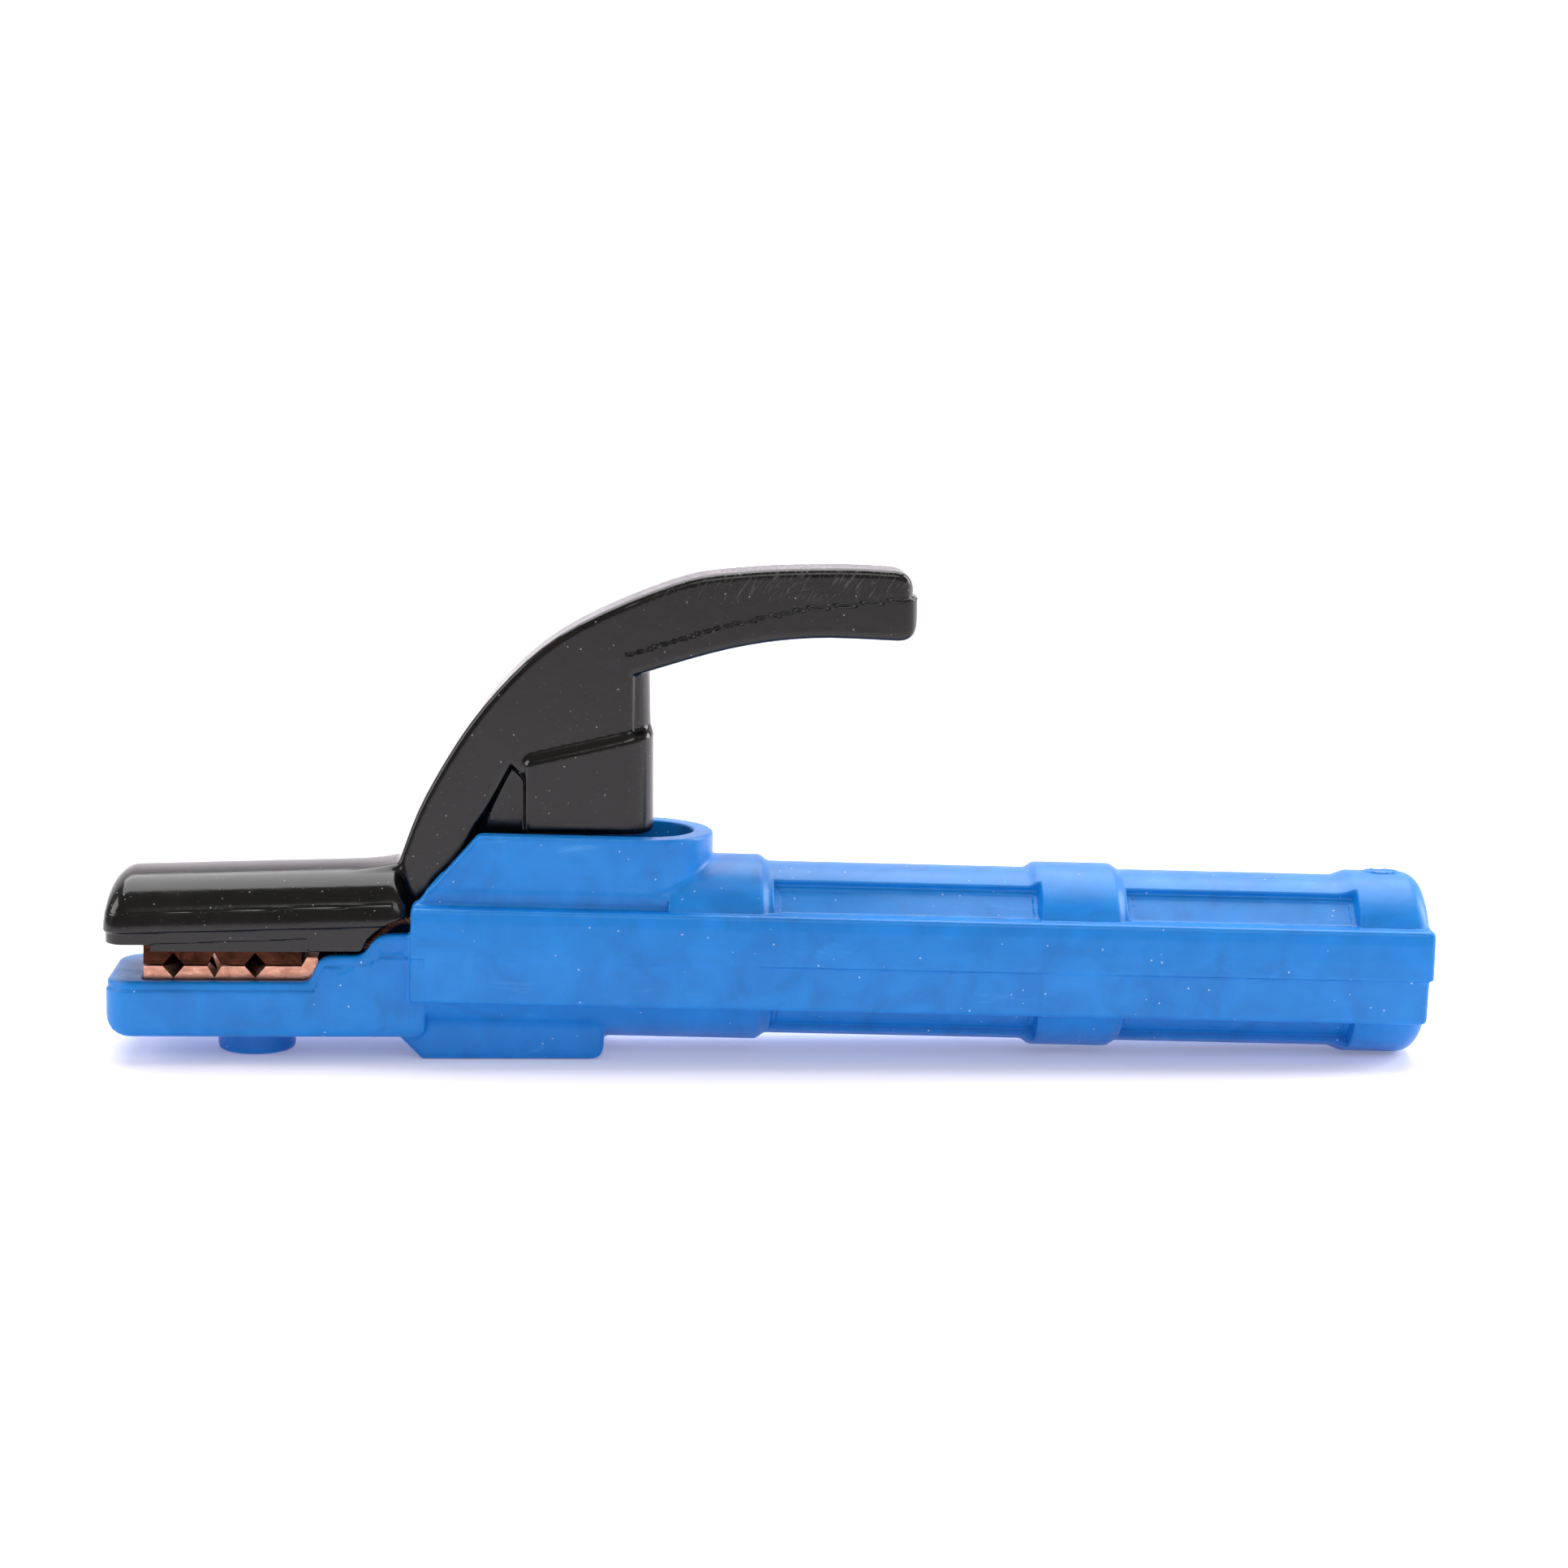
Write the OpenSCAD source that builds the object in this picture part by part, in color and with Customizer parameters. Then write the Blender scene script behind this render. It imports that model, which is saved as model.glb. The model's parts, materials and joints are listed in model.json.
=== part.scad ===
// Welding electrode holder with a sprung tong lever, lying on its foot.
// Millimetres. +X points to the cable end, +Z is up, and the table is at Z = 0.
// The origin is under the middle of the object.

/* [Handle] */
// Distance from the middle of the object to the cable end of the side rails
rear_x = 125.5; // [118:0.5:140]
// Radius of the handle's three rings
ring_r = 17.7; // [17.4:0.1:18.2]
// Radius of the handle between the rings
spine_r = 16.5; // [16:0.1:16.9]
// Height of the handle's axis above the table, over the origin
axis_z = 19.95; // [19.9:0.05:21]
// How far the handle's axis slopes down towards the cable, in degrees
tilt = 1.15; // [0.8:0.05:1.15]
// Radius of the cable duct
duct_r = 11.5; // [11.2:0.1:12]
// Half the height of the side rails
rail_h = 9; // [7:0.5:10]

/* [Jaw end] */
// Distance from the middle of the object to the front of the jaws
front_x = 125.5; // [123:0.5:132]
// Half the width of the jaw tray
tray_w = 14.5; // [14:0.1:15]
// Height of the jaw tray's rim
rim_z = 15.5; // [14.5:0.1:16]
// Width of the copper jaws
jaw_w = 21; // [18:0.5:22]
// Length of the toothed part of the jaws
jaw_l = 29.5; // [27:0.5:30]
// Distance between the electrode grooves
groove_step = 7.65; // [6:0.05:8]
// Depth of an electrode groove
groove_d = 2.3; // [1.5:0.1:2.6]
// Gap between the closed jaws
jaw_gap = 0.3; // [0.2:0.05:0.5]

/* [Lever] */
// Half the width of the lever's arm
arm_w = 6.2; // [5.8:0.1:6.6]
// Half the width of the spring box
box_w = 7.3; // [7:0.1:8]
// Distance of the hinge from the middle of the object
pivot_x = -55; // [-56:0.5:-54]
// Height of the hinge above the table
pivot_z = 23; // [22.8:0.1:23.5]
// Radius of the hinge pin
pin_r = 3; // [2.5:0.1:3.2]

/* [Cable socket] */
// Radius of the bore that the bared cable goes into
socket_bore_r = 6; // [5:0.1:6.1]
// Outer radius of the socket
socket_r = 8.6; // [8.2:0.1:9]
// Length of the socket
socket_l = 44; // [36:1:50]

/* [Hidden] */
$fn = 96;

eps = 0.01;                         // keeps cutting tools clear of the faces they cut
far = 200;                          // longer than anything here

// body
wall = 3;                           // side wall of the tray
rail_w = 17.5;                      // half the width of a rail at its edges
rail_parting_w = 17.9;              // and at the mould's parting line
rail_x = -67.8;                     // front end of the rails
rail_end = (rear_x - rail_h * sin(tilt)) / cos(tilt);  // their cable end, along the handle
ring_end = rear_x - 1;              // cable end of the last ring
panel_dist = 15.2;                  // from the handle's axis to the flat panels
panel_angle = 52;                   // their slope above the rails
collar_w = 13.7;                    // half the width of the collar
collar_wall = 3.8;
collar_rear = -11.1;
collar_top = 42.4;                  // height of the collar's rim over the origin
tray_floor = 9;
tray_z = 4.8;                       // underside of the tray
tray_rear = -65.1;
boss_x = -97.9;                     // the jaw screw's boss under the tray
boss_r = 7.35;
duct_front_r = 11;                  // the duct is narrower round the socket
recess_r = 5.3;                     // room for the jaw screw's head
recess_h = 5.2;
low_w = 9.4;                        // half the width of the cavity low in the body
shoulder_z = 29.3;                  // top of the wide part of the cavity

// lower jaw
jaw_x = -118;                       // front face of both jaws
jaw_top = 17.9;
step_z = 19.6;
ear_in = 5.9;
ear_out = 8.9;
ear_r = 6.3;
bar_top = 15.6;
bar_z = 9.15;
bar_w = 7;
plug_x = -22;                       // where the bar's round plug starts, along the handle
plug_end = -12;
plug_r = 6.6;
duct_step = plug_x + 5 + socket_l;   // along the handle, at the cable end of the socket
spring_x = -31;
groove_mid = -104.8;                // middle electrode groove

// lever
knuckle_r = 6;
knuckle_w = 5.3;
bush_r = 4.5;
cover_w = 14;
cover_ledge_z = 24.8;
lip_z = 22.4;
deep_lip_z = 21.3;
window_x1 = -87;
cover_rear = -77.9;
box_rear = -22.6;
box_front = -46.9;
box_corner = 5.5;                   // radius of its two upright rear edges
box_bottom = 42.6;
spring_bore_r = 5.7;
spring_roof = 57.5;

cover_h = 10.4;                     // height of the cover above its ledge
cover_hinge_x = -73;
jaw_back = 24.6;                    // top of the upper jaw's block
tail_top = 25.4;
tail_w = 8;
tail_screw_x = -82.4;
stud_x = [-111, -96];
stud_r = 2.6;
stud_top = 29;
lug_x = -72;                        // screw of the shunt's lower lug

// spring and hinge
seat_r = 5.8;
seat_h = 1.6;
coil_r = 5;
coil_wire = 1.5;
cap_h = 1.2;
running = 0.05;                     // radial clearance of the hinge
braid_w = 14;
braid_t = 1.6;
screw_r = 2.5;

// Points on a smooth curve through p, n to each stretch.
function catmull(a, b, c, d, t) =
    0.5 * (2 * b + (c - a) * t + (2 * a - 5 * b + 4 * c - d) * t * t + (3 * b - a - 3 * c + d) * t * t * t);
function smooth(p, n = 6) = [
    for (i = [0 : len(p) - 2], k = [0 : n - 1])
        catmull(p[max(i - 1, 0)], p[i], p[i + 1], p[min(i + 2, len(p) - 1)], k / n),
    p[len(p) - 1]];

// An outline drawn as (X, Z), given a width across the object.
module sideways(width) rotate([90, 0, 0]) linear_extrude(width, center = true) children();
// An outline drawn as (Y, Z), drawn out from x0 to x1.
module lengthwise(x0, x1) translate([x0, 0, 0]) rotate([90, 0, 90]) linear_extrude(x1 - x0) children();
// An outline drawn as (X, Y), drawn out from z0 to z1.
module upwards(z0, z1) translate([0, 0, z0]) linear_extrude(z1 - z0) children();
// Children in the handle's own frame, with its axis on X.
module along_handle() translate([0, 0, axis_z]) rotate([0, tilt, 0]) children();
// A round bar along X, from x0 to x1.
module bar_x(x0, x1, r) translate([x0, 0, 0]) rotate([0, 90, 0]) cylinder(r = r, h = x1 - x0);
// A round bar across the object, from y0 to y1, at (x, z).
module bar_y(x, z, y0, y1, r) translate([x, y1, z]) rotate([90, 0, 0]) cylinder(r = r, h = y1 - y0);
// A ring or washer standing on z0.
module washer(z0, h, r, hole) translate([0, 0, z0]) difference() {
    cylinder(r = r, h = h);
    translate([0, 0, -1]) cylinder(r = hole, h = h + 2);
}
// A rectangle from x0 to x1 and y0 to y1.
module rect(x0, x1, y0, y1) translate([x0, y0]) square([x1 - x0, y1 - y0]);
// The same, with its four corners rounded to r.
module round_rect(x0, x1, y0, y1, r) {
    rect(x0 + r, x1 - r, y0, y1);
    rect(x0, x1, y0 + r, y1 - r);
    for (x = [x0 + r, x1 - r], y = [y0 + r, y1 - r]) translate([x, y]) circle(r);
}
// A plan outline from x0 to a half-round end at x1, w to each side.
module round_end(x0, x1, w) {
    rect(x0, x1 - w, -w, w);
    translate([x1 - w, 0]) circle(w);
}

// The handle's round part: three rings with sloped shoulders, and the spine between them.
module rings() {
    ring1_end = -2.4;
    ring2 = [50.5, 65];
    ring3 = 111;
    edge = 4;
    along_handle() rotate([0, 90, 0]) rotate_extrude() union() {
        polygon([[0, rail_x + 2.6], [ring_r, rail_x + 2.6], [ring_r, ring1_end],
            [spine_r, ring1_end + 1.8], [spine_r, ring2[0] - 2], [ring_r - 0.1, ring2[0]],
            [ring_r - 0.1, ring2[1]], [spine_r, ring2[1] + 1.8], [spine_r, ring3 - 3],
            [ring_r - 0.2, ring3], [ring_r - 0.2, ring_end - edge],
            [ring_r - 0.2 - edge, ring_end - edge], [ring_r - 0.2 - edge, ring_end], [0, ring_end]]);
        translate([ring_r - 0.2 - edge, ring_end - edge]) intersection() {
            circle(edge);
            square(edge);
        }
    }
}
// The flat panels sunk between the rings, above and below each rail.
module panel_cuts() along_handle()
    for (span = [[0.4, 50], [67.5, 110.6]], side = [0, 1], up = [0, 1])
        mirror([0, side, 0]) mirror([0, 0, up]) rotate([panel_angle - 90, 0, 0])
            translate([span[0], -2.8, panel_dist]) cube([span[1] - span[0], 9, 5]);
module rails() along_handle() {
    lengthwise(rail_x, rail_end) polygon([[-rail_w, rail_h], [-rail_parting_w, 0], [-rail_w + 0.4, 0],
        [rail_w - 0.4, 0], [rail_parting_w, 0], [rail_w, rail_h]]);
    lengthwise(rail_x, rail_end - 0.9) polygon([[-rail_w, -rail_h], [-rail_parting_w + 0.1, 0],
        [rail_parting_w - 0.1, 0], [rail_w, -rail_h]]);
}
module collar() difference() {
    upwards(axis_z, collar_top + 3) round_end(rail_x, collar_rear, collar_w);
    translate([0, 0, collar_top]) rotate([0, tilt, 0]) translate([-far / 2, -far / 2, 0]) cube([far, far, 20]);
    // the front edge slopes back from the rails up to the rim
    sideways(far) polygon([[rail_x - 1, 29.3], [rail_x, 29.3], [-54.9, 44], [-54.9, 60], [rail_x - 1, 60]]);
}
module tray_outline() {
    difference() {
        polygon([[-front_x, tray_z], [tray_rear, tray_z], [tray_rear, 24.7], [-74, 24.7], [-76.9, 20.6],
            [-84.4, 20.4], [-86.9, rim_z], [-front_x, rim_z]]);
        rect(-front_x - 1, -front_x + 5.5, tray_z - 1, tray_z + 5.5);
    }
    translate([-front_x + 5.5, tray_z + 5.5]) circle(5.5);
    rect(-front_x, -front_x + 5.5, tray_z + 5.5, rim_z);
}
module tray() intersection() {
    sideways(2 * tray_w) intersection() {
        tray_outline();
        rect(-front_x, tray_rear, tray_z, 30);
    }
    upwards(0, 30) round_rect(-front_x, tray_rear + 20, -tray_w, tray_w, 6);
}
module foot() sideways(22) union() {
    polygon([[-70.8, 4.9], [-66, 0], [-34, 0], [-31.6, 2], [-31.6, 12], [-70.8, 12]]);
    translate([-34, 2.4]) circle(2.4);
}
module insulating_body() color([0.11, 0.42, 0.80]) difference() {
    union() {
        difference() {
            rings();
            panel_cuts();
        }
        rails();
        collar();
        tray();
        foot();
        translate([boss_x, 0, 0]) cylinder(r = boss_r, h = tray_floor);
    }
    // cable duct, open at the rear
    along_handle() {
        bar_x(-46, duct_step, duct_front_r);
        bar_x(duct_step - eps, rear_x + 1, duct_r);
    }
    // well for the lever, open at the top and at the front
    upwards(tray_floor + 8, 60) round_end(rail_x - 10, collar_rear - collar_wall, collar_w - collar_wall);
    // room for the ears and the hinge pin
    lengthwise(tray_rear - 4, -40) union() {
        rect(-duct_r, duct_r, 13, shoulder_z);
        rect(-low_w, low_w, tray_floor, 14);
    }
    // tray for the copper jaw
    upwards(tray_floor, 60) round_rect(-front_x + 7.2, -77, wall - tray_w, tray_w - wall, 1.5);
    upwards(tray_floor, 60) rect(-79, tray_rear, -low_w, low_w);
    upwards(13, 60) rect(-79, tray_rear, -duct_r, duct_r);
    // recess and hole for the jaw screw
    translate([boss_x, 0, -1]) cylinder(r = recess_r, h = recess_h + 1);
    translate([boss_x, 0, 0]) cylinder(r = 3.2, h = tray_floor + 1);
}

// One electrode groove across the jaw, from x at its near side, turned by turn degrees, opening upwards.
module groove(x, z, turn) translate([x, -jaw_w / 2, z]) rotate([0, 0, turn]) sideways(90)
    polygon([[-groove_d * 0.58, eps], [0, -groove_d], [groove_d * 0.58, eps]]);
module grooves(z) for (k = [-1, 0, 1]) groove(groove_mid + k * groove_step, z, k * 48);

module lower_jaw() color([0.80, 0.45, 0.30]) {
    difference() {
        union() {
            sideways(jaw_w) polygon([[jaw_x, bar_z], [jaw_x, jaw_top], [jaw_x + jaw_l, jaw_top],
                [-87.5, step_z], [-85.5, step_z], [-84.5, 14.6], [-79.5, 14.6], [-79.5, bar_z]]);
            sideways(2 * ear_out) polygon([[-80, bar_z], [-80, 14.6], [-62, 14.6], [-61.5, bar_top],
                [-47, bar_top], [-47, bar_z]]);
            sideways(2 * bar_w) polygon([[-48, bar_z], [-48, bar_top], [-24.5, bar_top], [-20, 22],
                [-20, 13], [-24, 12.3], [-40.5, 12.3], [-44, bar_z]]);
            for (s = [-1, 1]) translate([0, s * (ear_in + ear_out) / 2, 0]) sideways(ear_out - ear_in) union() {
                rect(pivot_x - ear_r, pivot_x + ear_r, bar_top - 1, pivot_z);
                translate([pivot_x, pivot_z]) circle(ear_r);
            }
            along_handle() bar_x(plug_x, plug_end - 0.1, plug_r - 0.02);
        }
        grooves(jaw_top);
        bar_y(pivot_x, pivot_z, -20, 20, pin_r + 0.01);
        // tapped holes for the jaw screw and the shunt screw
        translate([boss_x, 0, bar_z - 1]) cylinder(r = 3, h = 7);
        translate([lug_x, 0, 10]) cylinder(r = screw_r, h = 10);
        // bore under the spring seat's spigot
        translate([spring_x, 0, bar_top - 3]) cylinder(r = 2, h = 10);
    }
}
module cable_socket() color([0.78, 0.62, 0.32]) along_handle() difference() {
    bar_x(plug_x + 3, plug_x + 3 + socket_l, socket_r);
    bar_x(plug_x, plug_end, plug_r);
    bar_x(plug_end - eps, plug_x + 5 + socket_l, socket_bore_r);
    for (x = [-1, 12]) translate([x, 0, 0]) cylinder(r = screw_r, h = 20);
}
module cable_set_screws() color([0.45, 0.45, 0.47]) along_handle() for (x = [-1, 12])
    translate([x, 0, socket_bore_r + 0.5]) difference() {
        cylinder(r = screw_r - 0.03, h = 3.9);
        translate([-4, -0.5, 2.7]) cube([8, 1, 3]);
    }
module jaw_screw() color([0.70, 0.68, 0.60]) translate([boss_x, 0, 0]) difference() {
    union() {
        translate([0, 0, 0.6]) cylinder(r = 4.9, h = 2.6);
        translate([0, 0, 3]) cylinder(r = 2.98, h = 11);
    }
    translate([-6, -0.6, 0]) cube([12, 1.2, 1.8]);
}
module jaw_screw_washer() color([0.72, 0.72, 0.74]) translate([boss_x, 0, 0]) washer(4.4, 0.78, 5.2, 3.15);
module jaw_lock_washer() color([0.50, 0.50, 0.52]) translate([boss_x, 0, 0]) difference() {
    washer(3.22, 1.16, 4.7, 3.15);
    translate([2, -0.4, 3]) cube([4, 0.8, 2]);
}
module pivot_pin() color([0.62, 0.62, 0.64]) difference() {
    union() {
        bar_y(pivot_x, pivot_z, -10.6, 9, pin_r);
        bar_y(pivot_x, pivot_z, ear_out + 0.05, 10.4, pin_r + 1.3);
    }
    difference() {
        bar_y(pivot_x, pivot_z, -9.9, -9, pin_r + 1);
        bar_y(pivot_x, pivot_z, -10, -8.9, pin_r - 0.5);
    }
}
module pivot_circlip() color([0.35, 0.35, 0.37]) difference() {
    bar_y(pivot_x, pivot_z, -9.8, -9.1, pin_r + 1.4);
    bar_y(pivot_x, pivot_z, -10, -9, pin_r - 0.48);
    translate([pivot_x - 1.2, -11, pivot_z - 8]) cube([2.4, 4, 8]);
}
module pivot_washers() color([0.80, 0.68, 0.40]) for (s = [-1, 1]) difference() {
    bar_y(pivot_x, pivot_z, s * 5.62 - 0.2, s * 5.62 + 0.2, 5.2);
    bar_y(pivot_x, pivot_z, -8, 8, pin_r + 0.1);
}
module spring_seat() color([0.55, 0.20, 0.12]) translate([spring_x, 0, bar_top]) {
    cylinder(r = seat_r, h = seat_h);
    cylinder(r = coil_r - coil_wire - 0.4, h = seat_h + 3);
    translate([0, 0, -2.8]) cylinder(r = 1.95, h = 3);
}
// The room that the coil takes up.
module lever_spring() color([0.66, 0.67, 0.70]) translate([spring_x, 0, 0])
    washer(bar_top + seat_h + 0.05, spring_roof - cap_h - bar_top - seat_h - 0.1, coil_r, coil_r - coil_wire);
// The flat copper braid: off the bar, up in a loop, and under the upper jaw's tail.
function normal_at(p, i) =
    let(d = p[min(i + 1, len(p) - 1)] - p[max(i - 1, 0)]) [-d[1], d[0]] / norm(d);
function ribbon(p, t) = concat(
    [for (i = [0 : len(p) - 1]) p[i] + normal_at(p, i) * t / 2],
    [for (i = [len(p) - 1 : -1 : 0]) p[i] - normal_at(p, i) * t / 2]);
module shunt_braid() color([0.72, 0.38, 0.25]) sideways(braid_w) polygon(ribbon(smooth([[-65.9, 16.9],
    [-63.9, 18.5], [-63.8, 21.5], [-65.4, 24.6], [-68.6, 25.9], [-71.8, 25.2], [-74.6, 22.8],
    [-77.1, 20.4]], 4), braid_t));
module shunt_lower_lug() color([0.76, 0.46, 0.32]) difference() {
    sideways(braid_w + 1) polygon([[-76.5, 14.65], [-76.5, 15.8], [-67.9, 15.8], [-67.5, 17.9], [-66, 17.9],
        [-66, 14.65]]);
    translate([lug_x, 0, 10]) cylinder(r = screw_r + 0.1, h = 10);
}
module shunt_lower_screw() color([0.72, 0.72, 0.74]) translate([lug_x, 0, 0]) difference() {
    union() {
        translate([0, 0, 15.85]) cylinder(r = 3.9, h = 2.2);
        translate([0, 0, 10.5]) cylinder(r = screw_r - 0.02, h = 6);
    }
    translate([-6, -0.5, 17.2]) cube([12, 1, 2]);
}
module shunt_upper_lug() color([0.76, 0.46, 0.32]) difference() {
    sideways(braid_w + 1) polygon([[-86, 20.4], [-86, 21.2], [-77.7, 21.2], [-77.7, 19.5], [-79.2, 19.5],
        [-79.4, 20.4]]);
    translate([tail_screw_x, 0, 10]) cylinder(r = screw_r + 0.1, h = 20);
}
module shunt_upper_screw() color([0.72, 0.72, 0.74]) translate([tail_screw_x, 0, 0]) difference() {
    union() {
        translate([0, 0, 18.5]) cylinder(r = 2.4, h = 1.88);
        translate([0, 0, 18.5]) cylinder(r = screw_r - 0.52, h = 6);
    }
    translate([-6, -0.4, 18]) cube([12, 0.8, 1.2]);
}

// The arm's outer edge, from the jaw cover up and over to the tip of the grip.
outer_edge = smooth([[-70.7, 36.7], [-65.4, 49.9], [-54.7, 66.7], [-40.4, 80.3], [-19.5, 90],
    [-6, 92.5], [11.4, 93.3], [23.6, 92.9]], 5);
// The underside of the grip, from its tip back to the spring box.
grip_edge = smooth([[24.6, 79.6], [6.9, 80], [-8.4, 77.9], [-26.3, 72.7]], 5);
module arm_outline() polygon(concat(outer_edge, [[26.6, 91.4], [27.1, 87.8], [26.5, 81.2]], grip_edge,
    [[-26.3, 52], [-46, 52], [-49.4, 55.3], [-56.1, 42.3], [-59.6, 34], [-61.5, 30.2], [-64.5, 28.9],
     [-71.5, 27.2], [-80, 28], [-80, 34]]));
// The neck that carries the hinge, and the thin web between it and the spring box.
module neck_outline() {
    polygon([[-71.5, 27.2], [-64.5, 28.9], [pivot_x - knuckle_r, pivot_z], [pivot_x + knuckle_r, pivot_z],
        [-49, 34], [-46, box_bottom + 1], [-46, 56], [-49.4, 55.3], [-69, 36]]);
    translate([pivot_x, pivot_z]) circle(knuckle_r);
}
module spring_box() intersection() {
    upwards(box_bottom, 76) {
        rect(box_front, box_rear - box_corner, -box_w, box_w);
        round_rect(box_front + 3, box_rear, -box_w, box_w, box_corner);
    }
    union() {
        sideways(far) polygon([[-60, box_bottom], [-60, 54], [box_front, 57.1], [-26.1, 61.9], [-20, 63.3],
            [-20, box_bottom]]);
        sideways(2 * arm_w) polygon([[-46, box_bottom], [-46, 60], [-34, 76], [-20, 76], [-20, box_bottom]]);
    }
}
// Across the jaw cover, above its ledge.
module cover_section() polygon([for (a = [0 : 6 : 180])
    [cover_w * sign(cos(a)) * pow(abs(cos(a)), 0.8), cover_h * pow(sin(a), 0.8)]]);
module cover() {
    intersection() {
        translate([cover_hinge_x, 0, cover_ledge_z + 1.4]) rotate([0, -1.7, 0])
            lengthwise(-60, 4) cover_section();
        sideways(far) union() {
            polygon([[-front_x, 10], [-front_x, 30], [-front_x + 5, 35.1], [-100, 60], [-70.7, 60],
                [-70.7, 36.7], [-70.2, 31], [-71.5, 29], [-71.5, 10]]);
            translate([-front_x + 5, 30]) circle(5);
        }
        upwards(0, 60) round_rect(-front_x, -60, -cover_w, cover_w, 6);
    }
    // lips round the pocket: short in front, none beside the grooves, deep behind them
    upwards(lip_z, cover_ledge_z + 1) intersection() {
        round_rect(-front_x + 0.5, -60, -cover_w + 0.6, cover_w - 0.6, 6);
        rect(-front_x, -116.3, -20, 20);
    }
    sideways(2 * cover_w - 1.2) polygon([[window_x1, deep_lip_z], [cover_rear, deep_lip_z], [-76.9, 22],
        [-74.6, 24.9], [-71.9, 26.7], [-71.5, 30], [window_x1, 30]]);
    upwards(20.9, cover_ledge_z + 4) rect(-119.2, cover_rear - 4, -12, 12);
}
module lever() color([0.06, 0.06, 0.06]) difference() {
    union() {
        sideways(2 * arm_w) arm_outline();
        sideways(2 * knuckle_w) neck_outline();
        spring_box();
        cover();
    }
    // wide parts stay clear of the ears of the bar
    for (s = [-1, 1]) translate([0, s * (knuckle_w + 5), 0]) sideways(10) translate([pivot_x, pivot_z])
        circle(ear_r + 0.7);
    bar_y(pivot_x, pivot_z, -20, 20, bush_r);
    translate([spring_x, 0, 0]) cylinder(r = spring_bore_r, h = spring_roof);
    // pocket for the jaw, its two cast studs, its tail and the shunt's lug
    upwards(0, jaw_back) rect(jaw_x - 0.05, jaw_x + jaw_l + 0.05, -jaw_w / 2 - 0.05, jaw_w / 2 + 0.05);
    for (x = stud_x) translate([x, 0, 0]) cylinder(r = stud_r, h = stud_top);
    upwards(0, tail_top) rect(jaw_x + jaw_l - 1, -77.4, -tail_w - 0.05, tail_w + 0.05);
    upwards(0, 24.2) rect(-79, -70, -tail_w - 0.05, tail_w + 0.05);
}
module upper_jaw() color([0.42, 0.22, 0.15]) difference() {
    union() {
        upwards(jaw_top + jaw_gap, jaw_back) rect(jaw_x, jaw_x + jaw_l, -jaw_w / 2, jaw_w / 2);
        upwards(21.25, tail_top) rect(jaw_x + jaw_l - 1, -77.5, -tail_w, tail_w);
        for (x = stud_x) translate([x, 0, jaw_back - 1]) cylinder(r = stud_r, h = stud_top - jaw_back + 1);
    }
    translate([0, 0, 2 * jaw_top + jaw_gap]) mirror([0, 0, 1]) grooves(jaw_top);
    translate([tail_screw_x, 0, 20]) cylinder(r = 2, h = 4.6);
}
module pivot_bush() color([0.70, 0.50, 0.25]) difference() {
    bar_y(pivot_x, pivot_z, -knuckle_w, knuckle_w, bush_r);
    bar_y(pivot_x, pivot_z, -20, 20, pin_r + running);
}
module spring_cap() color([0.66, 0.67, 0.70]) translate([spring_x, 0, spring_roof - cap_h]) {
    cylinder(r = spring_bore_r - 0.1, h = cap_h);
    translate([0, 0, -2.5]) cylinder(r = coil_r - coil_wire - 0.4, h = 3);
}

insulating_body();
lower_jaw();
cable_socket();
cable_set_screws();
jaw_screw();
jaw_screw_washer();
jaw_lock_washer();
pivot_pin();
pivot_circlip();
pivot_washers();
spring_seat();
lever_spring();
shunt_braid();
shunt_lower_lug();
shunt_lower_screw();
lever();
upper_jaw();
pivot_bush();
spring_cap();
shunt_upper_lug();
shunt_upper_screw();
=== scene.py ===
# %% [markdown]
# Welding electrode holder
#
# The imported CAD model holds the sizes, the fits and the hinge. This script gives the same object its looks:
# two large glossy mouldings with soft edges, copper jaws, a braid and a spring, under soft studio light.
# It reads nothing but the frame; the two mouldings and their flash lines ride on the frame's two bodies.

# %% Load the frame
import json
import math

import bpy
import numpy as np
from mathutils import Matrix, Vector


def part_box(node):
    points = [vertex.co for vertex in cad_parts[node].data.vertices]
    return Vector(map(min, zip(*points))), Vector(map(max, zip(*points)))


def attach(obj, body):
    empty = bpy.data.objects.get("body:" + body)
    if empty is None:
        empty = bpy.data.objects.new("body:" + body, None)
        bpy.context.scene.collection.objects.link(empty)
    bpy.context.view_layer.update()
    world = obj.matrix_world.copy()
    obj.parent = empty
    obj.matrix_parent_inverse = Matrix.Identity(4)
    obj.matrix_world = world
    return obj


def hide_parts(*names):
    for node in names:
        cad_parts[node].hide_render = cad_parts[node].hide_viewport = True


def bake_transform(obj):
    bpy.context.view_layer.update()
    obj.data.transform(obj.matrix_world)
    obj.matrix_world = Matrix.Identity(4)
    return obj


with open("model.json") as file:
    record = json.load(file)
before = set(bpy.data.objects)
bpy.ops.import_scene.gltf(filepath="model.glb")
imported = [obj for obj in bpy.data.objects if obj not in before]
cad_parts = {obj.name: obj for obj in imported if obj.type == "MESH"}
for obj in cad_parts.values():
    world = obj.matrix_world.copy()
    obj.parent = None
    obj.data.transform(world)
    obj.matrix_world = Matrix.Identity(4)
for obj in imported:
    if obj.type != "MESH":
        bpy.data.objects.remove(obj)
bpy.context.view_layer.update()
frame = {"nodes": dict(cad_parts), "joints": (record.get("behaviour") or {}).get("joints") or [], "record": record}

MM = 0.001
BODY = "body"
LEVER = "tong_lever"

# %% [markdown]
# Camera, floor and light
#
# A product is usually set on a white sweep: a floor that curves up behind, so that no horizon shows. One wide
# softbox overhead draws the bright band along every top edge. A tall one at the cable end catches the spring
# column and the grip, one at the jaw end catches the cover's nose, and one in front keeps the near side from
# going dull. The camera stands almost square to the side with a long lens, a little towards the jaws and a
# little above.

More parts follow.
